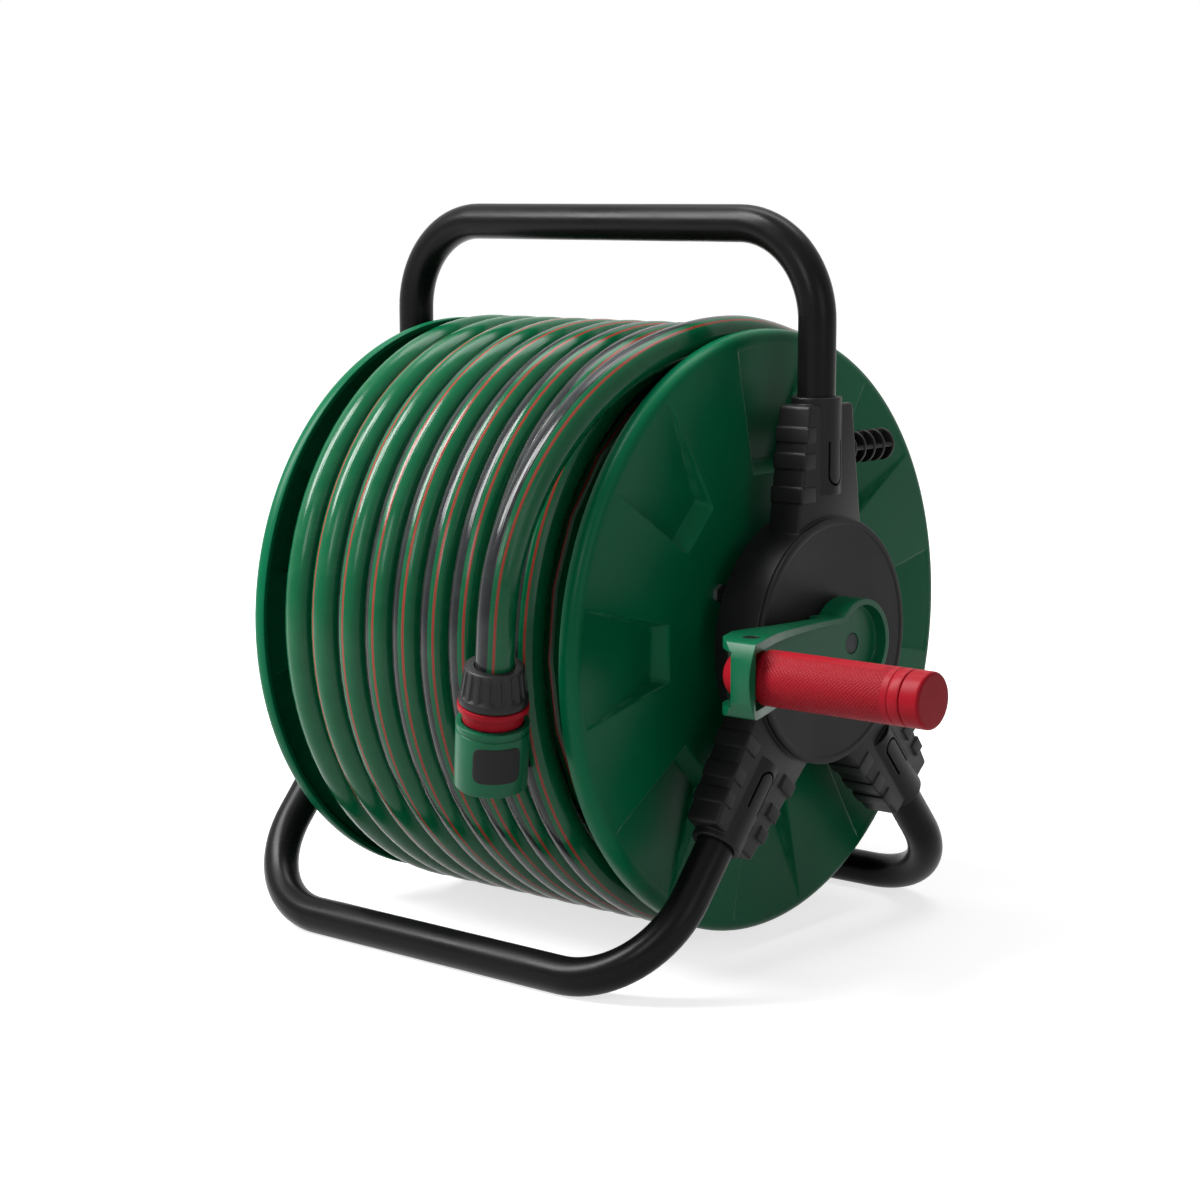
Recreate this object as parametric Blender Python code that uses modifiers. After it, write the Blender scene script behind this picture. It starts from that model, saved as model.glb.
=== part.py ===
"""Garden hose reel: a drum of half-inch hose that turns in a free-standing frame of bent steel tube.

Units are metres and +Z is up. The drum turns about a level axis along X. The crank is on the +X side,
the water inlet on the -X side, and the hose's free end with its connector hangs at the front (-Y).
The frame stands on the bars of its two foot tubes, and the model's origin is on the floor below the
middle of the frame and drum.

Angles about the axis are in degrees: 0 is the rear (+Y), 90 the top, 180 the front, 270 the floor.
"""
import math

import bmesh
import bpy
from mathutils import Matrix, Vector

# ------------------------------------------------------------------ fits
SEAT_GAP = 0.0003            # gap kept between pieces that touch
RUN_GAP = 0.0003             # clearance of a shaft that turns or slides
CUT_PAST = 0.0020            # how far a cutting shape runs past what it cuts

# ------------------------------------------------------------------ steel tube frame
TUBE_RADIUS = 0.0095
TUBE_WALL = 0.0012
TUBE_SIDES = 12
BEND_STEPS = 5
HANDLE_BEND_RADIUS = 0.048
FOOT_BEND_RADIUS = 0.053
HANDLE_ANGLE = 90.0
FOOT_SLOPE = 49.0            # how far each foot points below the horizontal
HANDLE_CLEARANCE = 0.0037    # between the handle bar and what the drum carries past it
FOOT_CLEARANCE = 0.0017      # between the foot bars and what the drum carries past them

# ------------------------------------------------------------------ drum
DRUM_HALF_WIDTH = 0.1097
FLANGE_RADIUS = 0.1537
FLANGE_SKIN = 0.0024
RIM_WIDTH = 0.0093
RIM_WALL = 0.0030
RIM_ROUND = 0.0052
FLANGE_STEPS = 36
RECESS_COUNT = 8
RECESS_DEPTH = 0.0070
RECESS_TOP_RADIUS = 0.0815   # inner wall of a recess at the flange's face
RECESS_FOOT_RADIUS = 0.0880  # the same wall at the recess's floor
RECESS_OUTER_RADIUS = 0.1465
RECESS_TOP_HALF_WIDTH = 0.0145
RECESS_FOOT_HALF_WIDTH = 0.0135
RECESS_OUTER_HALF_WIDTH = 0.0290
BARREL_RADIUS = 0.0780
BARREL_WALL = 0.0025
BARREL_STEPS = 24
BARREL_RIB_DEPTH = 0.0072    # the flange's ring that centres the barrel
PAN_LEAN = 0.8               # share of the skin by which a recess's pan grows towards the hub
TIE_ROD_COUNT = 3
TIE_ROD_RADIUS = 0.0025
TIE_ROD_HEAD_RADIUS = 0.0050
TIE_ROD_HEAD_HEIGHT = 0.0025
TIE_ROD_NUT_HEIGHT = 0.0040
TIE_ROD_END = 0.0050         # the thread's length outside the flange
TIE_ROD_CIRCLE = 0.0500
TIE_ROD_PHASE = 30.0

# ------------------------------------------------------------------ hose
HOSE_RADIUS = 0.00925
HOSE_BORE_RADIUS = 0.00635
TURN_GAP = 0.0005            # between neighbouring turns
EDGE_GAP = 0.0025            # between the first turn and the flange
INNER_LAYERS = 3
LAYER_STEP = 0.0196
LOOP_POINTS = 24
WINDING_START = -15.0
WINDING_EXTRA_STEPS = 5      # points past the last whole turn

# ------------------------------------------------------------------ hub
SHAFT_RADIUS = 0.0120
BUSH_WALL = 0.0027
BUSH_STEPS = 14
BUSH_FLANGE_RADIUS = 0.0185
BUSH_FLANGE_THICKNESS = 0.0034
BOSS_WALL = 0.0047
PLATE_RADIUS = 0.0300        # plates that screw the shafts to the flanges
PLATE_THICKNESS = 0.0033
PLATE_SCREW_COUNT = 3
PLATE_SCREW_CIRCLE = 0.0245
PLATE_SCREW_RADIUS = 0.0018
PLATE_SCREW_HEAD_RADIUS = 0.0036
SCREW_SIDES = 6
NECK_BORE_RADIUS = 0.0093
SPIGOT_RADIUS = 0.0088
WATERWAY_RADIUS = 0.0045
SPIGOT_INNER_X = 0.0950
SPIGOT_TIP_X = 0.1720
O_RING_WIRE_RADIUS = 0.00075
O_RING_CIRCLE = 0.00825
O_RING_PLACES = (0.0060, 0.0130)                # from the spigot's inner end
SPIGOT_NIPPLE_RADIUS = 0.00836
SPIGOT_WAIST_RADIUS = 0.00704
SPIGOT_FLANGE_RADIUS = 0.01408
SPIGOT_GROOVE_SHARES = (0.42, 0.48, 0.66, 0.72)  # the hose fitting's groove, as shares of the length
CIRCLIP_RADIUS = 0.01197
ELBOW_X = 0.0780             # the elbow's nipple, measured along the axis
ELBOW_WALL = 0.0050
NIPPLE_RADIUS = 0.0060
NIPPLE_REACH = 0.0450

# ------------------------------------------------------------------ brackets
SIDE_GAP = 0.0173            # between a flange's face and the bracket arms
ARM_THICKNESS = 0.0200
ARM_TIP_RADIUS = 0.1180
ARM_ROOT_RADIUS = 0.0540
ARM_TIP_HALF_WIDTH = 0.0183
ARM_ROOT_HALF_WIDTH = 0.0270
SLEEVE_WALL = 0.0028
SLEEVE_COLLAR = 0.0035       # how far a sleeve stands out of its arm
SLEEVE_ROOT_RADIUS = 0.0735
SOCKET_FLOOR_RADIUS = 0.0780
HUB_RADIUS = 0.0620
HUB_DEPTH = 0.0250
HUB_WALL = 0.0030
HUB_STEPS = 26
HUB_PROUD = 0.0005           # how far the hub stands out of its arms
CAP_THICKNESS = 0.0027
CAP_POST_COUNT = 2
CAP_POST_RADIUS = 0.0024
CAP_POST_CIRCLE = 0.0420
CAP_POST_LENGTH = 0.0055
CAP_POST_PHASE = 40.0
LATCH_TOP_RADIUS = 0.1000
LATCH_FOOT_RADIUS = 0.0830
LATCH_HALF_WIDTH = 0.0052
LATCH_SLIT = 0.0010

# ------------------------------------------------------------------ connector peg
PEG_BELOW_TIP = 0.0240       # from the arm's end to the peg's axis
PEG_OVERLAP = 0.0004         # keeps two joined faces of the peg out of one plane
PEG_LENGTH = 0.0345
PEG_CORE_RADIUS = 0.0036
PEG_RIB_RADIUS = 0.0082
PEG_WEB = 0.0016
PEG_RING_COUNT = 5
PEG_RING_THICKNESS = 0.0016
PEG_STUB_RADIUS = 0.0040
PEG_STUB_LENGTH = 0.0055

# ------------------------------------------------------------------ crank
CRANK_GAP = 0.0020           # between the hub cap and the crank
CUP_RADIUS = 0.0229
CUP_WALL = 0.0029
CRANK_BOSS_DEPTH = 0.0060
CRANK_FLOOR = 0.0025
CUP_DEPTH = 0.0065
TRAY_DEPTH_TIP = 0.0280
CRANK_REACH = 0.1030
CRANK_TIP_BULGE = 0.0190     # the arm's end beyond the fold pin
CRANK_TIP_CORNER = 0.75      # share of the bulge where the rounded end starts
CRANK_BELOW_CUP = 0.0020     # how far the side view runs past the cup
TRAY_END_GAP = 0.0009        # between the folded grip's root and the tray's end
NECK_HALF_HEIGHT = 0.0156
ARM_MIDDLE_HALF_HEIGHT = 0.0165
TIP_HALF_HEIGHT = 0.0178
# How the arm widens: share of the reach and half height.
CRANK_WIDTHS = ((0.55, ARM_MIDDLE_HALF_HEIGHT), (0.88, TIP_HALF_HEIGHT))
# How the arm's front rises: share of the reach and share of the rise.
CRANK_RISE = ((0.20, 0.0), (0.34, 0.03), (0.50, 0.12), (0.66, 0.26), (0.81, 0.45), (0.95, 0.68),
              (1.07, 0.89), (1.15, 1.0))
# The rounded end seen from above: back from the front edge and in from the tip.
CRANK_END = ((0.0005, -0.0010), (0.0070, -0.0005), (0.0145, 0.0030), (0.0205, 0.0070), (0.0250, 0.0125))
CRANK_HEEL = 0.93            # share of the reach where the back plate ends
FOLD_PIN_DEPTH = 0.0145      # from the tray's floor to the pin
FOLD_PIN_RADIUS = 0.0025
FOLD_PIN_HEAD_RADIUS = 0.0040
FOLD_PIN_HEAD_HEIGHT = 0.0012
FOLD_PIN_TAIL = 0.0020       # the pin's length below the arm
FOLD_PIN_RING_RADIUS = 0.0045
FOLD_PIN_RING_HEIGHT = 0.0010
GRIP_RADIUS = 0.01315
GRIP_STEPS = 20
GRIP_LENGTH = 0.1000         # from the fold pin to the grip's tip
GRIP_ROOT = 0.0093
GRIP_CAP_LENGTH = 0.0100
GRIP_CAP_ROUND = 0.0030
GRIP_EDGE = 0.0012
GRIP_ROD_RADIUS = 0.0060
GRIP_ROD_BACK = 0.0060       # from the rod's end to the grip's tip
GRIP_SIDE_GAP = 0.00025      # between the folded grip and the tray's walls
SPINDLE_HEX_RADIUS = 0.0090
CRANK_SCREW_RADIUS = 0.0025
CRANK_SCREW_HEAD_RADIUS = 0.0050
CRANK_SCREW_LENGTH = 0.0160

# ------------------------------------------------------------------ connector on the hose's free end
CONNECTOR_TANGENT_ANGLE = 189.7   # where the connector's axis runs past the winding squarely
CONNECTOR_TANGENT_X = 0.0745
CONNECTOR_TILT = 11.6
COLLAR_RADIUS = 0.0175
COLLAR_LENGTH = 0.0327
COLLAR_MOUTH = 0.0265
COLLAR_TRAVEL = 0.0030
COLLAR_BORE_RADIUS = 0.0123
COLLAR_SPRING_ROOM = 0.0062
COLLAR_EDGE = 0.0012
COLLAR_GROOVE_PLACE = 0.0035
COLLAR_GROOVE_WIDTH = 0.0012
COLLAR_GROOVE_DEPTH = 0.0005
NECK_RADIUS = 0.0145
NECK_LENGTH = 0.0092
NECK_RING_RADIUS = 0.0170
NECK_RING_THICKNESS = 0.0030
THREAD_RADIUS = 0.0120
THREAD_LENGTH = 0.0080
MOUTH_BORE_RADIUS = 0.0077
MOUTH_BORE_DEPTH = 0.0320
MOUTH_SHY = 0.0025           # the body's mouth stays this far inside the collar's
WASHER_THICKNESS = 0.0020
NUT_LENGTH = 0.0185
NUT_TOP_RADIUS = 0.0140
NUT_FOOT_RADIUS = 0.0165
NUT_BAND = 0.0040
NUT_FLUTES = 18
NUT_FLUTE_DEPTH = 0.0009
PAD_HALF_ANGLE = 39.0
PAD_HEIGHT = 0.0180
PAD_THICKNESS = 0.0011
PAD_PROUD = 0.0004
PAD_DIRECTION = (0.777, -0.629, 0.0)

# The free hose's route after its straight start: angle, distance along X, distance from the axis.
FREE_HOSE_ROUTE = (
    (76.0, 0.0876, 0.1490),
    (86.0, 0.0884, 0.1502),
    (96.0, 0.0890, 0.1520),
    (106.0, 0.0892, 0.1550),
    (116.0, 0.0890, 0.1595),
    (126.0, 0.0886, 0.1650),
    (136.0, 0.0881, 0.1710),
    (146.0, 0.0874, 0.1766),
    (156.0, 0.0864, 0.1806),
    (166.0, 0.0852, 0.1818),
)
FREE_HOSE_POINTS = 20

# ------------------------------------------------------------------ sizes that follow from the ones above
BARREL_HALF_LENGTH = DRUM_HALF_WIDTH - FLANGE_SKIN - SEAT_GAP
INNER_HALF_WIDTH = DRUM_HALF_WIDTH - RECESS_DEPTH - FLANGE_SKIN
CORE_RADIUS = BARREL_RADIUS + INNER_LAYERS * LAYER_STEP
WINDING_RADIUS = CORE_RADIUS + SEAT_GAP + HOSE_RADIUS
WINDING_OUTER_RADIUS = WINDING_RADIUS + HOSE_RADIUS
PITCH = 2 * HOSE_RADIUS + TURN_GAP
WINDING_START_X = -(INNER_HALF_WIDTH - HOSE_RADIUS - EDGE_GAP)
WHOLE_TURNS = int(-2 * WINDING_START_X / PITCH - WINDING_EXTRA_STEPS / LOOP_POINTS)
WINDING_STEPS = WHOLE_TURNS * LOOP_POINTS + WINDING_EXTRA_STEPS
STEP_ANGLE = 360.0 / LOOP_POINTS

BUSH_OUTER_RADIUS = SHAFT_RADIUS + RUN_GAP + BUSH_WALL
BOSS_BORE_RADIUS = BUSH_OUTER_RADIUS + SEAT_GAP
BOSS_RADIUS = BOSS_BORE_RADIUS + BOSS_WALL
BOSS_BACK_X = DRUM_HALF_WIDTH + BUSH_FLANGE_THICKNESS + 3 * SEAT_GAP
ARM_BACK_X = DRUM_HALF_WIDTH + SIDE_GAP
ARM_FRONT_X = ARM_BACK_X + ARM_THICKNESS
LEG_X = (ARM_BACK_X + ARM_FRONT_X) / 2
HUB_BACK_X = ARM_FRONT_X - HUB_DEPTH
CAP_BACK_X = ARM_FRONT_X + SEAT_GAP
CAP_FRONT_X = CAP_BACK_X + CAP_THICKNESS
SLEEVE_RADIUS = TUBE_RADIUS + SEAT_GAP + SLEEVE_WALL
TUBE_END_RADIUS = SOCKET_FLOOR_RADIUS + SEAT_GAP
PEG_RADIAL_PLACE = ARM_TIP_RADIUS - PEG_BELOW_TIP

CRANK_BACK_X = CAP_FRONT_X + CRANK_GAP
CRANK_FLOOR_X = CRANK_BACK_X + CRANK_BOSS_DEPTH
TRAY_FLOOR_X = CRANK_FLOOR_X + CRANK_FLOOR
CUP_FRONT_X = TRAY_FLOOR_X + CUP_DEPTH
TIP_FRONT_X = TRAY_FLOOR_X + TRAY_DEPTH_TIP
FOLD_PIN_X = TRAY_FLOOR_X + FOLD_PIN_DEPTH
GRIP_TIP_X = FOLD_PIN_X + GRIP_LENGTH
TRAY_HALF_HEIGHT = GRIP_RADIUS + GRIP_SIDE_GAP
KNUCKLE_RADIUS = GRIP_RADIUS - SEAT_GAP / 6

CONNECTOR_DISTANCE = WINDING_OUTER_RADIUS + SEAT_GAP + COLLAR_RADIUS
SWEPT_RADIUS = math.hypot(CONNECTOR_DISTANCE, COLLAR_MOUTH) + COLLAR_RADIUS
HANDLE_REACH = SWEPT_RADIUS + HANDLE_CLEARANCE + TUBE_RADIUS
FOOT_REACH = SWEPT_RADIUS + FOOT_CLEARANCE + TUBE_RADIUS
FRONT_FOOT_ANGLE = 180.0 + FOOT_SLOPE
REAR_FOOT_ANGLE = 360.0 - FOOT_SLOPE
AXIS_HEIGHT = FOOT_REACH * math.sin(math.radians(FOOT_SLOPE)) + TUBE_RADIUS * math.cos(math.pi / TUBE_SIDES)
MIDDLE_X = (GRIP_TIP_X - SPIGOT_TIP_X) / 2

SPIN = (0.0, math.radians(90), 0.0)        # turns a piece's own Z axis to X
TO_REAR = (math.radians(-90), 0.0, 0.0)    # turns a piece's own Z axis to +Y
TURN_TO_X = Matrix.Rotation(math.radians(90), 4, "Y")
# Stands a plate's own X and Y along Y and Z, with its thickness along X.
PLATE_TO_SIDE = Matrix(((0, 0, 1, 0), (1, 0, 0, 0), (0, 1, 0, 0), (0, 0, 0, 1)))


# ------------------------------------------------------------------ scene and materials
def clear_scene():
    for thing in list(bpy.data.objects):
        bpy.data.objects.remove(thing, do_unlink=True)


def new_collection(name):
    collection = bpy.data.collections.new(name)
    bpy.context.scene.collection.children.link(collection)
    return collection


def new_material(name, colour, roughness, metallic=0.0):
    material = bpy.data.materials.new(name)
    material.use_nodes = True
    shader = material.node_tree.nodes["Principled BSDF"]
    shader.inputs["Base Color"].default_value = (*colour, 1.0)
    shader.inputs["Roughness"].default_value = roughness
    shader.inputs["Metallic"].default_value = metallic
    material.diffuse_color = (*colour, 1.0)
    return material


clear_scene()
PARTS = new_collection("garden_hose_reel")
CUTTERS = new_collection("cutters")

COLOURS = {
    "green_plastic": ((0.010, 0.090, 0.036), 0.38, 0.0),
    "black_plastic": ((0.020, 0.020, 0.021), 0.55, 0.0),
    "black_tube": ((0.012, 0.012, 0.012), 0.35, 0.4),
    "red_plastic": ((0.42, 0.012, 0.020), 0.40, 0.0),
    "green_hose": ((0.012, 0.110, 0.050), 0.30, 0.0),
    "steel": ((0.55, 0.55, 0.56), 0.30, 1.0),
    "dark_steel": ((0.05, 0.05, 0.05), 0.35, 0.9),
    "rubber": ((0.02, 0.02, 0.02), 0.70, 0.0),
    "acetal": ((0.75, 0.74, 0.70), 0.45, 0.0),
}


def dress(thing, finish):
    colour, roughness, metallic = COLOURS[finish]
    thing.data.materials.clear()
    thing.data.materials.append(new_material(thing.name + "_" + finish, colour, roughness, metallic))


def empty(name, parent=None, location=(0, 0, 0), rotation=(0, 0, 0)):
    holder = bpy.data.objects.new(name, None)
    holder.empty_display_size = 0.02
    PARTS.objects.link(holder)
    holder.parent = parent
    holder.location = location
    holder.rotation_euler = rotation
    return holder


# ------------------------------------------------------------------ shape helpers
def place(thing, parent, location=(0, 0, 0), rotation=(0, 0, 0), cutter=False):
    (CUTTERS if cutter else PARTS).objects.link(thing)
    thing.parent = parent
    thing.location = location
    thing.rotation_euler = rotation
    if cutter:
        thing.hide_render = True
        thing.display_type = "WIRE"
    return thing


def mesh_piece(name, bm, parent, location=(0, 0, 0), rotation=(0, 0, 0), cutter=False):
    bmesh.ops.recalc_face_normals(bm, faces=bm.faces)
    mesh = bpy.data.meshes.new(name)
    bm.to_mesh(mesh)
    bm.free()
    mesh.shade_smooth()
    mesh.set_sharp_from_angle(angle=math.radians(35))
    return place(bpy.data.objects.new(name, mesh), parent, location, rotation, cutter)


def turned(name, profile, parent, steps=24, closed=False, location=(0, 0, 0), rotation=SPIN, cutter=False):
    """Turn (radius, height) points, outer side from top to bottom, about the piece's own Z axis."""
    mesh = bpy.data.meshes.new(name)
    bm = bmesh.new()
    points = [bm.verts.new((radius, 0.0, height)) for radius, height in profile]
    for first, second in zip(points, points[1:]):
        bm.edges.new((first, second))
    if closed:
        bm.edges.new((points[-1], points[0]))
    bm.to_mesh(mesh)
    bm.free()
    thing = place(bpy.data.objects.new(name, mesh), parent, location, rotation, cutter)
    screw = thing.modifiers.new("turn", "SCREW")
    screw.axis = "Z"
    screw.steps = steps
    screw.render_steps = steps
    screw.use_merge_vertices = True
    screw.merge_threshold = 0.00001
    screw.use_smooth_shade = False
    return thing


def ring(name, inner, outer, low, high, parent, steps=24, **options):
    profile = ((outer, high), (outer, low), (inner, low), (inner, high))
    return turned(name, profile, parent, steps, closed=True, **options)


def rod(name, radius, low, high, parent, steps=24, **options):
    profile = ((0.0, high), (radius, high), (radius, low), (0.0, low))
    return turned(name, profile, parent, steps, **options)


def add_rod(bm, radius, low, high, sides, matrix):
    """Add a cylinder along the matrix's Z axis, from low to high, with a corner at +X like a turned piece."""
    middle = matrix @ Matrix.Translation((0, 0, (low + high) / 2)) @ Matrix.Rotation(math.radians(90), 4, "Z")
    bmesh.ops.create_cone(bm, cap_ends=True, segments=sides, radius1=radius, radius2=radius,
                          depth=high - low, matrix=middle)


def add_box(bm, low, high):
    low, high = Vector(low), Vector(high)
    size = high - low
    shape = Matrix.Translation((low + high) / 2) @ Matrix.Diagonal((*size, 1.0))
    bmesh.ops.create_cube(bm, size=1.0, matrix=shape)


def add_hull(bm, points):
    corners = [bm.verts.new(point) for point in points]
    result = bmesh.ops.convex_hull(bm, input=corners)
    loose = [item for item in result["geom_interior"] if isinstance(item, bmesh.types.BMVert)]
    bmesh.ops.delete(bm, geom=loose, context="VERTS")


def outline_plate(name, outline, thickness, parent, location, rotation, cutter=False):
    """A flat closed outline in the piece's own XY plane, with its thickness centred on it."""
    curve = bpy.data.curves.new(name, "CURVE")
    curve.dimensions = "2D"
    curve.fill_mode = "BOTH"
    curve.extrude = thickness / 2
    spline = curve.splines.new("POLY")
    spline.points.add(len(outline) - 1)
    for point, (x, y) in zip(spline.points, outline):
        point.co = (x, y, 0.0, 1.0)
    spline.use_cyclic_u = True
    return curve_to_mesh(bpy.data.objects.new(name, curve), parent, location, rotation, cutter)


def curve_to_mesh(curve_object, parent, location, rotation, cutter):
    """Replace a curve object by a mesh object with welded caps."""
    name = curve_object.name
    curve_object.name = name + "_curve"
    CUTTERS.objects.link(curve_object)
    bpy.context.view_layer.update()
    graph = bpy.context.evaluated_depsgraph_get()
    mesh = bpy.data.meshes.new_from_object(curve_object.evaluated_get(graph))
    bpy.data.objects.remove(curve_object, do_unlink=True)
    bm = bmesh.new()
    bm.from_mesh(mesh)
    bmesh.ops.remove_doubles(bm, verts=bm.verts, dist=0.00001)
    bmesh.ops.recalc_face_normals(bm, faces=bm.faces)
    bm.to_mesh(mesh)
    bm.free()
    return place(bpy.data.objects.new(name, mesh), parent, location, rotation, cutter)


def tube_curve(name, points, radius, sides, parent, location=(0, 0, 0), rotation=(0, 0, 0), capped=True,
               tilt=0.0):
    """A round tube along the points, with 6, 8, 12 or 16 sides."""
    curve = bpy.data.curves.new(name, "CURVE")
    curve.dimensions = "3D"
    curve.bevel_depth = radius
    curve.bevel_resolution = (sides - 4) // 2
    curve.use_fill_caps = capped
    curve.twist_mode = "MINIMUM"
    spline = curve.splines.new("POLY")
    spline.points.add(len(points) - 1)
    for point, spot in zip(spline.points, points):
        point.co = (*spot, 1.0)
        point.tilt = tilt
    return place(bpy.data.objects.new(name, curve), parent, location, rotation)


def combine(target, other, operation):
    change = target.modifiers.new(operation.lower() + "_" + other.name, "BOOLEAN")
    change.object = other
    change.operation = operation
    change.solver = "EXACT"
    return target


def arc(centre_x, centre_y, radius, start, end, steps):
    """Points along an arc, angles in degrees."""
    points = []
    for step in range(steps + 1):
        angle = math.radians(start + (end - start) * step / steps)
        points.append((centre_x + radius * math.cos(angle), centre_y + radius * math.sin(angle)))
    return points


def about_axis(angle, x, radius):
    """A point at an angle about the drum's axis."""
    turn = math.radians(angle)
    return Vector((x, radius * math.cos(turn), radius * math.sin(turn)))


def radial_frame(angle):
    """Turns a shape drawn with its radial direction along +Z to an angle about the drum's axis."""
    return Matrix.Rotation(math.radians(angle - 90.0), 4, "X")


# ------------------------------------------------------------------ steel tubes
def u_tube(name, angle, reach, bend_radius, parent, tilt=0.0):
    """A U of tube whose two legs run along one direction and whose bar crosses over the drum."""
    side = LEG_X - bend_radius
    height = reach - bend_radius
    points = [(LEG_X, TUBE_END_RADIUS)]
    points += arc(side, height, bend_radius, 0, 90, BEND_STEPS)
    points += arc(-side, height, bend_radius, 90, 180, BEND_STEPS)
    points += [(-LEG_X, TUBE_END_RADIUS)]
    route = [(x, 0.0, z) for x, z in points]
    turn = (math.radians(angle - 90.0), 0.0, 0.0)
    tube = tube_curve(name, route, TUBE_RADIUS, TUBE_SIDES, parent, rotation=turn, capped=False, tilt=tilt)
    wall = tube.modifiers.new("wall", "SOLIDIFY")
    wall.thickness = TUBE_WALL
    wall.offset = -1.0
    dress(tube, "black_tube")
    return tube


def build_frame_tubes(frame):
    u_tube("handle_tube", HANDLE_ANGLE, HANDLE_REACH, HANDLE_BEND_RADIUS, frame)
    facet = 360.0 / TUBE_SIDES
    # A facet of each foot bar lies flat on the floor.
    front_tilt = math.radians(facet / 2 - (90.0 - FOOT_SLOPE) % facet)
    u_tube("front_foot_tube", FRONT_FOOT_ANGLE, FOOT_REACH, FOOT_BEND_RADIUS, frame, tilt=front_tilt)
    u_tube("rear_foot_tube", REAR_FOOT_ANGLE, FOOT_REACH, FOOT_BEND_RADIUS, frame, tilt=-front_tilt)


# ------------------------------------------------------------------ brackets
SOCKET_ANGLES = (HANDLE_ANGLE, FRONT_FOOT_ANGLE, REAR_FOOT_ANGLE)


def arm_half_width(radius):
    share = (ARM_TIP_RADIUS - radius) / (ARM_TIP_RADIUS - ARM_ROOT_RADIUS)
    return ARM_TIP_HALF_WIDTH + share * (ARM_ROOT_HALF_WIDTH - ARM_TIP_HALF_WIDTH)


def arm_outline():
    """One arm seen from outside: it widens towards the hub."""
    side = [(ARM_TIP_HALF_WIDTH, ARM_TIP_RADIUS), (ARM_ROOT_HALF_WIDTH, ARM_ROOT_RADIUS)]
    return side + [(-across, radius) for across, radius in reversed(side)]


def socket_matrix(angle, middle_x):
    """Stands a plate's own X and Y across and along one arm, with its thickness centred on middle_x."""
    return radial_frame(angle) @ Matrix.Translation((middle_x, 0, 0)) @ PLATE_TO_SIDE


def bracket_arm(name, angle, parent):
    thickness = ARM_THICKNESS - 2 * HUB_PROUD
    arm = outline_plate(name, arm_outline(), thickness, parent, (0, 0, 0), (0, 0, 0), cutter=True)
    arm.data.transform(socket_matrix(angle, LEG_X))
    return arm


def bracket_rods(name, parent, radius, low, high, sides):
    bm = bmesh.new()
    for angle in SOCKET_ANGLES:
        matrix = radial_frame(angle) @ Matrix.Translation((LEG_X, 0, 0))
        add_rod(bm, radius, low, high, sides, matrix)
    return mesh_piece(name, bm, parent, cutter=True)


def latch_slit(name, angle, parent):
    """The U-shaped slit round the tongue that snaps onto the tube."""
    half = LATCH_HALF_WIDTH
    outer = [(half, LATCH_TOP_RADIUS)] + arc(0, LATCH_FOOT_RADIUS, half, 0, -180, 3)
    outer += [(-half, LATCH_TOP_RADIUS)]
    thin = half - LATCH_SLIT
    inner = [(-thin, LATCH_TOP_RADIUS)] + arc(0, LATCH_FOOT_RADIUS, thin, -180, 0, 3)
    inner += [(thin, LATCH_TOP_RADIUS)]
    depth = SLEEVE_WALL + ARM_THICKNESS / 4
    middle_x = LEG_X + TUBE_RADIUS + depth / 2 - SEAT_GAP
    plate = outline_plate(name, outer + inner, depth, parent, (0, 0, 0), (0, 0, 0), cutter=True)
    plate.data.transform(socket_matrix(angle, middle_x))
    return plate


def build_bracket(side_name, side):
    """One moulded bracket: a hub with three arms, each with a round sleeve for a tube end."""
    name = side_name + "_bracket"
    room_front = ARM_FRONT_X - HUB_WALL
    profile = ((HUB_RADIUS, ARM_FRONT_X), (HUB_RADIUS, HUB_BACK_X), (HUB_RADIUS - HUB_WALL, HUB_BACK_X),
               (HUB_RADIUS - HUB_WALL, room_front), (BOSS_RADIUS, room_front), (BOSS_RADIUS, BOSS_BACK_X),
               (BOSS_BORE_RADIUS, BOSS_BACK_X), (BOSS_BORE_RADIUS, ARM_FRONT_X))
    hub = turned(name, profile, side, steps=HUB_STEPS, closed=True)
    for number, angle in enumerate(SOCKET_ANGLES):
        combine(hub, bracket_arm(name + "_arm_%d" % number, angle, side), "UNION")
    combine(hub, bracket_rods(name + "_sleeves", side, SLEEVE_RADIUS, SLEEVE_ROOT_RADIUS,
                              ARM_TIP_RADIUS + SLEEVE_COLLAR, TUBE_SIDES), "UNION")
    combine(hub, bracket_rods(name + "_bores", side, TUBE_RADIUS + SEAT_GAP, SOCKET_FLOOR_RADIUS,
                              ARM_TIP_RADIUS + 2 * SLEEVE_COLLAR, TUBE_SIDES), "DIFFERENCE")
    for number, angle in enumerate(SOCKET_ANGLES):
        combine(hub, latch_slit(name + "_latch_%d" % number, angle, side), "DIFFERENCE")
    posts = cap_posts(name + "_post_holes", side, CAP_POST_RADIUS + SEAT_GAP,
                      ARM_FRONT_X - 2 * HUB_WALL, ARM_FRONT_X + HUB_WALL)
    combine(hub, posts, "DIFFERENCE")
    dress(hub, "black_plastic")
    return hub


def cap_posts(name, parent, radius, low, high):
    bm = bmesh.new()
    for number in range(CAP_POST_COUNT):
        angle = CAP_POST_PHASE + number * 360.0 / CAP_POST_COUNT
        matrix = Matrix.Translation(about_axis(angle, 0.0, CAP_POST_CIRCLE)) @ TURN_TO_X
        add_rod(bm, radius, low, high, SCREW_SIDES, matrix)
    return mesh_piece(name, bm, parent, cutter=True)


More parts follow.
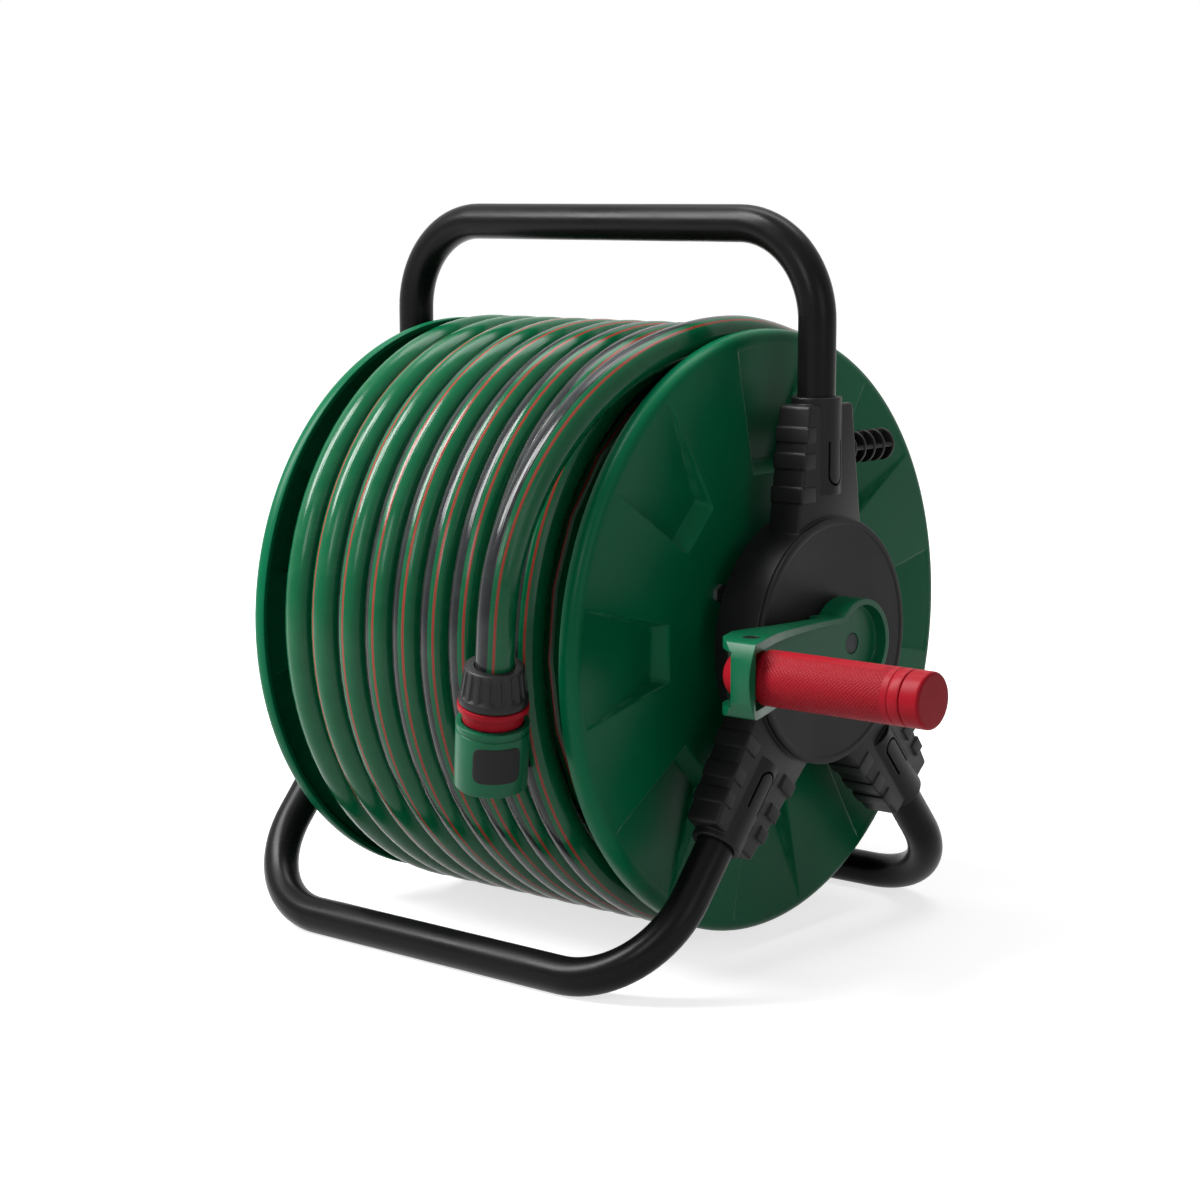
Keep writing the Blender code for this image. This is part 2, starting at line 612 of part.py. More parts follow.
def build_hub_cap(side_name, side, hole_radius):
    """The plain round disc that closes the hub, held by posts pressed through the bracket."""
    name = side_name + "_hub_cap"
    edge = CAP_THICKNESS / 5
    profile = ((HUB_RADIUS - edge, CAP_FRONT_X), (HUB_RADIUS, CAP_FRONT_X - edge), (HUB_RADIUS, CAP_BACK_X),
               (hole_radius, CAP_BACK_X), (hole_radius, CAP_FRONT_X))
    cap = turned(name, profile, side, steps=HUB_STEPS, closed=True)
    combine(cap, cap_posts(name + "_posts", side, CAP_POST_RADIUS, CAP_BACK_X - CAP_POST_LENGTH,
                           CAP_BACK_X + CAP_THICKNESS / 2), "UNION")
    dress(cap, "black_plastic")
    return cap


def build_bush(side_name, side):
    """A flanged plain bearing pressed into the bracket's boss."""
    bore = (SHAFT_RADIUS + RUN_GAP) / math.cos(math.pi / BUSH_STEPS)
    flange_back = BOSS_BACK_X - SEAT_GAP - BUSH_FLANGE_THICKNESS
    flange_front = BOSS_BACK_X - SEAT_GAP
    profile = ((BUSH_OUTER_RADIUS, ARM_FRONT_X - HUB_WALL), (BUSH_OUTER_RADIUS, flange_front),
               (BUSH_FLANGE_RADIUS, flange_front), (BUSH_FLANGE_RADIUS, flange_back),
               (bore, flange_back), (bore, ARM_FRONT_X - HUB_WALL))
    dress(turned(side_name + "_bush", profile, side, steps=BUSH_STEPS, closed=True), "acetal")


def build_peg(side, bracket):
    """The ribbed peg behind the handle socket, where the connector is parked."""
    base = arm_half_width(PEG_RADIAL_PLACE - PEG_RIB_RADIUS)
    where = (LEG_X, base + SEAT_GAP, PEG_RADIAL_PLACE)
    core = rod("connector_peg", PEG_CORE_RADIUS, -PEG_STUB_LENGTH, PEG_LENGTH, side, steps=12,
               location=where, rotation=TO_REAR)
    half = PEG_WEB / 2
    reach = PEG_RIB_RADIUS - half
    for number, (across, up) in enumerate(((reach, half), (half, reach))):
        low = PEG_OVERLAP * (1 + number / 2)
        bm = bmesh.new()
        add_box(bm, (-across, -up, low), (across, up, PEG_LENGTH - half - number * PEG_OVERLAP / 2))
        web = mesh_piece("connector_peg_web_%d" % (number + 1), bm, side, where, TO_REAR, cutter=True)
        combine(core, web, "UNION")
    bm = bmesh.new()
    spacing = (PEG_LENGTH + PEG_OVERLAP - PEG_RING_THICKNESS) / (PEG_RING_COUNT - 1)
    for number in range(PEG_RING_COUNT):
        low = number * spacing
        add_rod(bm, PEG_RIB_RADIUS, low, low + PEG_RING_THICKNESS, 8, Matrix.Identity(4))
    rings = mesh_piece("connector_peg_rings", bm, side, where, TO_REAR, cutter=True)
    combine(core, rings, "UNION")
    dress(core, "black_plastic")
    hole = rod("connector_peg_hole", PEG_STUB_RADIUS + SEAT_GAP, -PEG_STUB_LENGTH - SEAT_GAP, PEG_LENGTH, side,
               steps=12, location=where, rotation=TO_REAR, cutter=True)
    combine(bracket, hole, "DIFFERENCE")


# ------------------------------------------------------------------ drum
def recess_hulls(name, parent, skin, above):
    """Eight wedges, shallow at the rim and deep towards the hub, made larger by the skin."""
    bm = bmesh.new()
    face = DRUM_HALF_WIDTH
    corners = ((RECESS_TOP_RADIUS, RECESS_TOP_HALF_WIDTH, 0.0),
               (RECESS_FOOT_RADIUS, RECESS_FOOT_HALF_WIDTH, RECESS_DEPTH),
               (RECESS_OUTER_RADIUS, RECESS_OUTER_HALF_WIDTH, 0.0))
    for number in range(RECESS_COUNT):
        matrix = radial_frame(number * 360.0 / RECESS_COUNT)
        points = []
        for radius, half, depth in corners:
            radius -= 0.0 if radius == RECESS_OUTER_RADIUS else skin * PAN_LEAN
            half += skin
            for side in (-1, 1):
                points.append(matrix @ Vector((face - depth - skin, side * half, radius)))
                if depth == 0.0:
                    points.append(matrix @ Vector((face + above, side * half, radius)))
        add_hull(bm, points)
    return mesh_piece(name, bm, parent, cutter=True)


def screw_holes(name, parent, circle, radius, count, low, high, phase):
    bm = bmesh.new()
    for number in range(count):
        matrix = Matrix.Translation(about_axis(phase + number * 360.0 / count, 0.0, circle))
        add_rod(bm, radius, low, high, SCREW_SIDES, matrix @ TURN_TO_X)
    return mesh_piece(name, bm, parent, cutter=True)


def build_flange(side_name, side):
    """A thin moulded disc with a turned-back rim, eight recesses and a ring that centres the barrel."""
    face = DRUM_HALF_WIDTH
    back = face - FLANGE_SKIN
    rim_back = face - RIM_WIDTH
    rib_outer = (BARREL_RADIUS - BARREL_WALL) * math.cos(math.pi / BARREL_STEPS) - SEAT_GAP
    rib_inner = rib_outer - FLANGE_SKIN
    rib_back = back - BARREL_RIB_DEPTH
    bore = SHAFT_RADIUS + RUN_GAP
    profile = [(bore, face)]
    profile += arc(FLANGE_RADIUS - RIM_ROUND, face - RIM_ROUND, RIM_ROUND, 90, 0, 2)
    profile += [(FLANGE_RADIUS, rim_back), (FLANGE_RADIUS - RIM_WALL, rim_back)]
    profile += [(FLANGE_RADIUS - RIM_WALL, face - RIM_ROUND), (FLANGE_RADIUS - RIM_ROUND, back)]
    profile += [(rib_outer, back), (rib_outer, rib_back), (rib_inner, rib_back), (rib_inner, back), (bore, back)]
    flange = turned(side_name + "_flange", profile, side, steps=FLANGE_STEPS, closed=True)
    combine(flange, recess_hulls(side_name + "_flange_pans", side, FLANGE_SKIN, -FLANGE_SKIN / 2), "UNION")
    combine(flange, recess_hulls(side_name + "_flange_recesses", side, 0.0, FLANGE_SKIN), "DIFFERENCE")
    low, high = back - PLATE_THICKNESS, face + PLATE_THICKNESS
    combine(flange, screw_holes(side_name + "_flange_screw_holes", side, PLATE_SCREW_CIRCLE,
                                PLATE_SCREW_RADIUS + SEAT_GAP, PLATE_SCREW_COUNT, low, high, 0.0), "DIFFERENCE")
    combine(flange, screw_holes(side_name + "_flange_rod_holes", side, TIE_ROD_CIRCLE,
                                TIE_ROD_RADIUS + SEAT_GAP, TIE_ROD_COUNT, low, high, tie_rod_phase(side_name)),
            "DIFFERENCE")
    dress(flange, "green_plastic")


def tie_rod_phase(side_name):
    """The inlet side is the crank side turned half a turn about Z, which mirrors its angles."""
    return TIE_ROD_PHASE if side_name == "crank_side" else 180.0 - TIE_ROD_PHASE


def build_barrel(drum):
    barrel = ring("drum_barrel", BARREL_RADIUS - BARREL_WALL, BARREL_RADIUS, -BARREL_HALF_LENGTH,
                  BARREL_HALF_LENGTH, drum, steps=BARREL_STEPS)
    slot = rod("drum_barrel_hose_hole", HOSE_RADIUS + SEAT_GAP, 0.0, BARREL_RADIUS + CUT_PAST, drum, steps=12,
               location=(-ELBOW_X, 0, 0), rotation=(0, 0, 0), cutter=True)
    combine(barrel, slot, "DIFFERENCE")
    dress(barrel, "green_plastic")


def build_tie_rods(drum):
    """Long bolts through both flanges, with a nut on each at the inlet side."""
    face = DRUM_HALF_WIDTH + SEAT_GAP
    head = face + TIE_ROD_HEAD_HEIGHT
    end = -face - TIE_ROD_END
    for number in range(TIE_ROD_COUNT):
        where = about_axis(TIE_ROD_PHASE + number * 360.0 / TIE_ROD_COUNT, 0.0, TIE_ROD_CIRCLE)
        profile = ((0.0, head), (TIE_ROD_HEAD_RADIUS, head), (TIE_ROD_HEAD_RADIUS, face),
                   (TIE_ROD_RADIUS, face), (TIE_ROD_RADIUS, end), (0.0, end))
        bolt = turned("tie_rod_%d" % (number + 1), profile, drum, steps=SCREW_SIDES, location=where)
        dress(bolt, "steel")
        nut = ring("tie_rod_nut_%d" % (number + 1), TIE_ROD_RADIUS + SEAT_GAP, TIE_ROD_HEAD_RADIUS,
                   -face - TIE_ROD_NUT_HEIGHT, -face, drum, steps=SCREW_SIDES, location=where)
        dress(nut, "steel")


def plate_screws(prefix, side):
    """Screws that hold a shaft's plate against the inside of its flange."""
    face = DRUM_HALF_WIDTH + SEAT_GAP
    head = face + PLATE_SCREW_RADIUS
    end = DRUM_HALF_WIDTH - FLANGE_SKIN - PLATE_THICKNESS
    for number in range(PLATE_SCREW_COUNT):
        where = about_axis(number * 360.0 / PLATE_SCREW_COUNT, 0.0, PLATE_SCREW_CIRCLE)
        profile = ((0.0, head), (PLATE_SCREW_HEAD_RADIUS, head), (PLATE_SCREW_HEAD_RADIUS, face),
                   (PLATE_SCREW_RADIUS, face), (PLATE_SCREW_RADIUS, end), (0.0, end))
        screw = turned("%s_screw_%d" % (prefix, number + 1), profile, side, steps=SCREW_SIDES, location=where)
        dress(screw, "steel")


def build_drive_spindle(side):
    """The shaft that joins the crank to the drum: a screwed plate, a round journal and a hexagonal end."""
    plate_front = DRUM_HALF_WIDTH - FLANGE_SKIN - SEAT_GAP
    plate_back = plate_front - PLATE_THICKNESS
    end = CRANK_FLOOR_X - SEAT_GAP
    shoulder = CAP_FRONT_X
    profile = ((0.0, shoulder), (SHAFT_RADIUS, shoulder), (SHAFT_RADIUS, plate_front),
               (PLATE_RADIUS, plate_front), (PLATE_RADIUS, plate_back), (0.0, plate_back))
    spindle = turned("drive_spindle", profile, side, steps=16)
    bm = bmesh.new()
    add_rod(bm, SPINDLE_HEX_RADIUS, shoulder - PLATE_THICKNESS, end, 6, TURN_TO_X)
    combine(spindle, mesh_piece("drive_spindle_hexagon", bm, side, cutter=True), "UNION")
    combine(spindle, screw_holes("drive_spindle_screw_holes", side, PLATE_SCREW_CIRCLE,
                                 PLATE_SCREW_RADIUS + SEAT_GAP, PLATE_SCREW_COUNT, plate_back - PLATE_THICKNESS,
                                 plate_front + PLATE_THICKNESS, 0.0), "DIFFERENCE")
    combine(spindle, rod("drive_spindle_thread", CRANK_SCREW_RADIUS + SEAT_GAP, end - CRANK_SCREW_LENGTH,
                         end + PLATE_THICKNESS, side, steps=12, cutter=True), "DIFFERENCE")
    dress(spindle, "steel")
    plate_screws("spindle", side)


def build_swivel_elbow(side):
    """Turns with the drum: takes water from the inlet spigot and sends it out through a nipple."""
    plate_front = DRUM_HALF_WIDTH - FLANGE_SKIN - SEAT_GAP
    plate_back = plate_front - PLATE_THICKNESS
    body_radius = NECK_BORE_RADIUS + ELBOW_WALL
    body_end = ELBOW_X - body_radius
    neck_end = ARM_FRONT_X - HUB_WALL
    profile = ((0.0, neck_end), (SHAFT_RADIUS, neck_end), (SHAFT_RADIUS, plate_front),
               (PLATE_RADIUS, plate_front), (PLATE_RADIUS, plate_back), (body_radius, plate_back), (body_radius, body_end), (0.0, body_end))
    elbow = turned("swivel_elbow", profile, side, steps=16)
    where = (ELBOW_X, 0, 0)
    nipple = rod("swivel_elbow_nipple", NIPPLE_RADIUS, 0.0, NIPPLE_REACH, side, steps=10, location=where,
                 rotation=(0, 0, 0), cutter=True)
    combine(elbow, nipple, "UNION")
    bore = rod("swivel_elbow_bore", NECK_BORE_RADIUS, ELBOW_X - NIPPLE_RADIUS, neck_end + HUB_WALL, side,
               steps=16, cutter=True)
    combine(elbow, bore, "DIFFERENCE")
    branch = rod("swivel_elbow_branch", NIPPLE_RADIUS / 2, 0.0, NIPPLE_REACH + NIPPLE_RADIUS, side, steps=8,
                 location=where, rotation=(0, 0, 0), cutter=True)
    combine(elbow, branch, "DIFFERENCE")
    combine(elbow, screw_holes("swivel_elbow_screw_holes", side, PLATE_SCREW_CIRCLE,
                               PLATE_SCREW_RADIUS + SEAT_GAP, PLATE_SCREW_COUNT, plate_back - PLATE_THICKNESS,
                               plate_front + PLATE_THICKNESS, 0.0), "DIFFERENCE")
    dress(elbow, "acetal")
    plate_screws("elbow", side)


def build_inlet(side):
    """The fixed water inlet: a grooved spigot that runs into the swivel elbow."""
    groove = O_RING_CIRCLE - O_RING_WIRE_RADIUS - SEAT_GAP
    half_groove = O_RING_WIRE_RADIUS + SEAT_GAP
    rings = [SPIGOT_INNER_X + place for place in O_RING_PLACES]
    clip_front = ARM_FRONT_X - SEAT_GAP
    clip_back = clip_front - CAP_THICKNESS / 2
    flange_back = CAP_FRONT_X + SEAT_GAP
    flange_front = flange_back + CAP_THICKNESS
    nipple = SPIGOT_NIPPLE_RADIUS
    waist = SPIGOT_WAIST_RADIUS
    length = SPIGOT_TIP_X - flange_front
    grooved = [SPIGOT_TIP_X - share * length for share in SPIGOT_GROOVE_SHARES]
    outer = [(nipple, SPIGOT_TIP_X), (nipple, grooved[0]), (waist, grooved[1]), (waist, grooved[2]),
             (nipple, grooved[3]), (nipple, flange_front), (SPIGOT_FLANGE_RADIUS, flange_front),
             (SPIGOT_FLANGE_RADIUS, flange_back),
             (SPIGOT_RADIUS, flange_back), (SPIGOT_RADIUS, clip_front + SEAT_GAP), (waist, clip_front + SEAT_GAP),
             (waist, clip_back - SEAT_GAP), (SPIGOT_RADIUS, clip_back - SEAT_GAP)]
    for middle in reversed(rings):
        outer += [(SPIGOT_RADIUS, middle + half_groove), (groove, middle + half_groove),
                  (groove, middle - half_groove), (SPIGOT_RADIUS, middle - half_groove)]
    outer += [(SPIGOT_RADIUS, SPIGOT_INNER_X), (WATERWAY_RADIUS, SPIGOT_INNER_X), (WATERWAY_RADIUS, SPIGOT_TIP_X)]
    dress(turned("inlet_spigot", outer, side, steps=12, closed=True), "black_plastic")
    clip = ring("inlet_circlip", waist + SEAT_GAP, CIRCLIP_RADIUS, clip_back, clip_front, side, steps=12)
    dress(clip, "steel")
    for number, middle in enumerate(rings):
        circle = arc(O_RING_CIRCLE, middle, O_RING_WIRE_RADIUS, 0, -270, 3)
        dress(turned("inlet_o_ring_%d" % (number + 1), circle, side, steps=12, closed=True), "rubber")


def build_hose_inner_end(side):
    """The hose from the elbow's nipple out to the first layer, and the clip round it."""
    start = NECK_BORE_RADIUS + ELBOW_WALL + 2 * ELBOW_WALL
    where = (ELBOW_X, 0, 0)
    end = BARREL_RADIUS - BARREL_WALL / 2
    hose = ring("hose_inner_end", HOSE_BORE_RADIUS, HOSE_RADIUS, start, end, side, steps=12,
                location=where, rotation=(0, 0, 0))
    dress(hose, "green_hose")
    clip = ring("hose_clip", HOSE_RADIUS + SEAT_GAP, HOSE_RADIUS + 5 * SEAT_GAP, start + ELBOW_WALL,
                start + 2 * ELBOW_WALL, side, steps=12, location=where, rotation=(0, 0, 0))
    dress(clip, "steel")


# ------------------------------------------------------------------ hose on the drum
def winding_point(step):
    angle = WINDING_START + step * STEP_ANGLE
    return about_axis(angle, WINDING_START_X + PITCH * step / LOOP_POINTS, WINDING_RADIUS)


def least_gap(points):
    """The least distance between the surfaces of two turns, from the centre points of the tube."""
    least = math.inf
    for first in range(len(points)):
        for second in range(first + LOOP_POINTS // 2, len(points) - 1):
            start, end = points[second], points[second + 1]
            along = end - start
            share = (points[first] - start).dot(along) / along.length_squared
            nearest = start + along * min(max(share, 0.0), 1.0)
            least = min(least, (points[first] - nearest).length)
    return least - 2 * HOSE_RADIUS


def build_hose(drum):
    """The inner layers as one plain core, and the outer layer as one wound tube."""
    half = INNER_HALF_WIDTH - SEAT_GAP
    core = ring("hose_inner_layers", BARREL_RADIUS + SEAT_GAP, CORE_RADIUS, -half, half, drum, steps=LOOP_POINTS)
    dress(core, "green_hose")
    points = [winding_point(step) for step in range(WINDING_STEPS + 1)]
    print("hose winding: %d points, least gap to itself %.2f mm" % (len(points), least_gap(points) * 1000))
    dress(tube_curve("hose_winding", points, HOSE_RADIUS, 6, drum), "green_hose")
    return points


def connector_matrix():
    """Where the connector lies: origin nearest the drum's axis, its own Z from the nut to the mouth."""
    angle = math.radians(CONNECTOR_TANGENT_ANGLE)
    tilt = math.radians(CONNECTOR_TILT)
    tangent = Vector((0.0, -math.sin(angle), math.cos(angle)))
    along = (tangent * math.cos(tilt) - Vector((math.sin(tilt), 0.0, 0.0))).normalized()
    outward = Vector((0.0, math.cos(angle), math.sin(angle)))
    across = along.cross(outward).normalized()
    turn = Matrix((across, along.cross(across), along)).transposed().to_4x4()
    where = about_axis(CONNECTOR_TANGENT_ANGLE, CONNECTOR_TANGENT_X, CONNECTOR_DISTANCE)
    return Matrix.Translation(where) @ turn


def smooth_route(points, count):
    """Points at even steps along a smooth curve (Catmull-Rom) through the given ones."""
    padded = [2 * points[0] - points[1]] + points + [2 * points[-1] - points[-2]]
    fine = []
    for index in range(1, len(padded) - 2):
        before, start, end, after = padded[index - 1:index + 3]
        for step in range(12):
            t = step / 12
            fine.append(0.5 * (2 * start + (end - before) * t + (2 * before - 5 * start + 4 * end - after) * t ** 2
                               + (3 * start - before - 3 * end + after) * t ** 3))
    fine.append(points[-1])
    lengths = [0.0]
    for first, second in zip(fine, fine[1:]):
        lengths.append(lengths[-1] + (second - first).length)
    route = []
    place = 0
    for number in range(count):
        target = lengths[-1] * number / (count - 1)
        while place < len(fine) - 2 and lengths[place + 1] < target:
            place += 1
        share = (target - lengths[place]) / (lengths[place + 1] - lengths[place])
        route.append(fine[place].lerp(fine[place + 1], min(share, 1.0)))
    return route


def build_free_hose(drum, winding):
    """The stretch from the end of the winding to the connector, whose nut it passes into."""
    leaving = (winding[-1] - winding[-2]).normalized()
    start = winding[-1] + leaving * SEAT_GAP
    connector = connector_matrix()
    inside = connector @ Vector((0, 0, hose_end_height()))
    outside = connector @ Vector((0, 0, nut_top() - HOSE_RADIUS))
    middle = [about_axis(angle, x, radius) for angle, x, radius in FREE_HOSE_ROUTE]
    ends_in = [start, start + leaving * 2 * HOSE_RADIUS]
    route = smooth_route(ends_in + middle + [outside, inside], FREE_HOSE_POINTS)
    dress(tube_curve("hose_free_end", route, HOSE_RADIUS, 8, drum), "green_hose")
    length = sum((second - first).length for first, second in zip(route, route[1:]))
    print("free hose: %.3f m" % length)


# ------------------------------------------------------------------ connector
def collar_back():
    return COLLAR_MOUTH - COLLAR_LENGTH


def neck_front():
    return collar_back() - SEAT_GAP


def nut_foot():
    return neck_front() - NECK_LENGTH - SEAT_GAP


def nut_top():
    return nut_foot() - NUT_LENGTH


def thread_back():
    return nut_foot() + SEAT_GAP - THREAD_LENGTH


def hose_end_height():
    return thread_back() - SEAT_GAP


def build_nut(connector):
    """The fluted nut that clamps the hose: a tapered star with a plain band at its foot."""
    top, foot = nut_top(), nut_foot()
    bm = bmesh.new()
    slope = (NUT_FOOT_RADIUS - NUT_TOP_RADIUS) / NUT_LENGTH
    band = foot - NUT_BAND
    band_radius = NUT_TOP_RADIUS + slope * (band - top)
    middle = (top + band + SEAT_GAP) / 2
    bmesh.ops.create_cone(bm, cap_ends=True, segments=2 * NUT_FLUTES, radius1=NUT_TOP_RADIUS,
                          radius2=band_radius, depth=band + SEAT_GAP - top,
                          matrix=Matrix.Translation((0, 0, middle)))
    bm.verts.ensure_lookup_table()
    for vert in bm.verts:
        turn = round(math.atan2(vert.co.y, vert.co.x) / math.pi * NUT_FLUTES)
        if turn % 2:
            radius = math.hypot(vert.co.x, vert.co.y)
            scale = (radius - NUT_FLUTE_DEPTH) / radius
            vert.co.x *= scale
            vert.co.y *= scale
    nut = mesh_piece("connector_nut", bm, connector)
    base = rod("connector_nut_band", NUT_FOOT_RADIUS, band, foot, connector, rotation=(0, 0, 0), cutter=True)
    combine(nut, base, "UNION")
    hole = rod("connector_nut_hole", HOSE_RADIUS + 1.5 * SEAT_GAP, top - NUT_BAND, foot + NUT_BAND, connector,
               steps=16, rotation=(0, 0, 0), cutter=True)
    combine(nut, hole, "DIFFERENCE")
    thread = rod("connector_nut_thread", THREAD_RADIUS + SEAT_GAP, hose_end_height(), foot + NUT_BAND, connector,
                 steps=16, rotation=(0, 0, 0), cutter=True)
    combine(nut, thread, "DIFFERENCE")
    dress(nut, "black_plastic")


def build_connector_body(connector):
    """The red body: a threaded end in the nut, a neck with a raised ring, and the tube in the collar."""
    front = COLLAR_MOUTH - MOUTH_SHY
    neck_back = nut_foot() + SEAT_GAP
    ring_front = neck_back + NECK_RING_THICKNESS
    inner = COLLAR_BORE_RADIUS - RUN_GAP
    bore_floor = front - MOUTH_BORE_DEPTH
    profile = ((inner, front), (inner, neck_front()), (NECK_RADIUS, neck_front()), (NECK_RADIUS, ring_front),
               (NECK_RING_RADIUS, ring_front), (NECK_RING_RADIUS, neck_back),
               (THREAD_RADIUS, neck_back), (THREAD_RADIUS, thread_back()),
               (WATERWAY_RADIUS, thread_back()), (WATERWAY_RADIUS, bore_floor), (MOUTH_BORE_RADIUS, bore_floor),
               (MOUTH_BORE_RADIUS, front))
    dress(turned("connector_body", profile, connector, steps=16, closed=True, rotation=(0, 0, 0)), "red_plastic")
    low = bore_floor + SEAT_GAP
    washer = ring("connector_washer", WATERWAY_RADIUS + SEAT_GAP, MOUTH_BORE_RADIUS - SEAT_GAP, low,
                  low + WASHER_THICKNESS, connector, steps=12, rotation=(0, 0, 0))
    dress(washer, "rubber")
    spring = ring("connector_spring", COLLAR_BORE_RADIUS + SEAT_GAP / 3, NECK_RADIUS - SEAT_GAP / 3,
                  collar_back(), collar_back() + COLLAR_SPRING_ROOM - COLLAR_TRAVEL - SEAT_GAP, connector,
                  steps=16, rotation=(0, 0, 0))
    dress(spring, "steel")


def pad_block(name, connector, direction, grow):
    """A rounded block that cuts a pad's outline out of the collar, seen along its direction."""
    half_width = COLLAR_RADIUS * math.sin(math.radians(PAD_HALF_ANGLE)) + grow
    half_height = PAD_HEIGHT / 2 + grow
    corner = half_height / 2
    outline = []
    for x, y, start in ((1, 1, 0), (-1, 1, 90), (-1, -1, 180), (1, -1, 270)):
        outline += arc(x * (half_width - corner), y * (half_height - corner), corner, start, start + 90, 4)
    middle = (COLLAR_MOUTH + collar_back()) / 2
    plate = outline_plate(name, outline, COLLAR_RADIUS, connector, (0, 0, 0), (0, 0, 0), cutter=True)
    across = Vector((0, 0, 1)).cross(direction)
    turn = Matrix((across, (0, 0, 1), direction)).transposed().to_4x4()
    shift = Matrix.Translation(Vector((0, 0, middle)) + direction * COLLAR_RADIUS)
    plate.data.transform(shift @ turn)
    return plate


def build_collar(connector, collar):
    """The green collar that slides back to free the connector, and its two grip pads."""
    back = collar_back()
    step = back + COLLAR_SPRING_ROOM
    inner = COLLAR_BORE_RADIUS
    wide = NECK_RADIUS + RUN_GAP
    high = back + COLLAR_GROOVE_PLACE + COLLAR_GROOVE_WIDTH / 2
    low = high - COLLAR_GROOVE_WIDTH
    grooved = COLLAR_RADIUS - COLLAR_GROOVE_DEPTH
    profile = ((COLLAR_RADIUS - COLLAR_EDGE, COLLAR_MOUTH), (COLLAR_RADIUS, COLLAR_MOUTH - COLLAR_EDGE),
               (COLLAR_RADIUS, high), (grooved, high), (grooved, low), (COLLAR_RADIUS, low),
               (COLLAR_RADIUS, back), (wide, back), (wide, step), (inner, step), (inner, COLLAR_MOUTH))
    shell = turned("connector_collar", profile, collar, steps=20, closed=True, rotation=(0, 0, 0))
    world = connector_matrix().to_3x3()
    facing = world.transposed() @ Vector(PAD_DIRECTION)
    facing.z = 0.0
    facing.normalize()
    pad_back = COLLAR_RADIUS + PAD_PROUD - PAD_THICKNESS
    for number, direction in enumerate((facing, -facing)):
        name = "collar_pad_%d" % (number + 1)
        pocket = ring(name + "_pocket", pad_back - SEAT_GAP, COLLAR_RADIUS + 2 * CUT_PAST, back - CUT_PAST,
                      COLLAR_MOUTH + CUT_PAST, collar, steps=20, rotation=(0, 0, 0), cutter=True)
        combine(pocket, pad_block(name + "_pocket_outline", collar, direction, SEAT_GAP), "INTERSECT")
        combine(shell, pocket, "DIFFERENCE")
        pad = ring(name, pad_back, COLLAR_RADIUS + PAD_PROUD, back - CUT_PAST, COLLAR_MOUTH + CUT_PAST, collar,
                   steps=20, rotation=(0, 0, 0))
        combine(pad, pad_block(name + "_outline", collar, direction, 0.0), "INTERSECT")
        dress(pad, "rubber")
    dress(shell, "green_plastic")


# ------------------------------------------------------------------ crank and grip
def crank_outline():
    """The arm seen from the crank side, in (Y, Z): a round cup, a straight arm and a rounded end."""
    neck_y = -math.sqrt(CUP_RADIUS ** 2 - NECK_HALF_HEIGHT ** 2)
    neck_turn = math.degrees(math.atan2(NECK_HALF_HEIGHT, neck_y))
    outline = arc(0, 0, CUP_RADIUS, neck_turn, -neck_turn, 18)
    end_y = -(CRANK_REACH + CRANK_TIP_BULGE)
    corner_y = -(CRANK_REACH + CRANK_TIP_CORNER * CRANK_TIP_BULGE)
    rise = corner_y - end_y
    bulge = (TIP_HALF_HEIGHT ** 2 + rise ** 2) / (2 * rise)
    half_turn = math.degrees(math.asin(TIP_HALF_HEIGHT / bulge))
    side = [(-share * CRANK_REACH, half) for share, half in CRANK_WIDTHS]
    outline += [(y, -z) for y, z in side]
    outline += arc(end_y + bulge, 0, bulge, 180 + half_turn, 180 - half_turn, 5)
    outline += side[::-1]
    return outline


def crank_side_view():
    """The arm seen from above, in (X, Y): shallow at the cup and deep at the tip."""
    tip = -(CRANK_REACH + CRANK_TIP_BULGE)
    far = CUP_RADIUS + CRANK_BELOW_CUP
    deep = TIP_FRONT_X - CUP_FRONT_X
    front = [(CUP_FRONT_X, far)]
    front += [(CUP_FRONT_X + rise * deep, -share * CRANK_REACH) for share, rise in CRANK_RISE]
    end = [(TIP_FRONT_X - back, tip + inwards) for back, inwards in CRANK_END]
    end += [(TRAY_FLOOR_X + SEAT_GAP, -CRANK_REACH), (CRANK_FLOOR_X, -CRANK_HEEL * CRANK_REACH)]
    back = [(CRANK_FLOOR_X, -far), (CRANK_BACK_X, -far), (CRANK_BACK_X, far)]
    return front + end + back


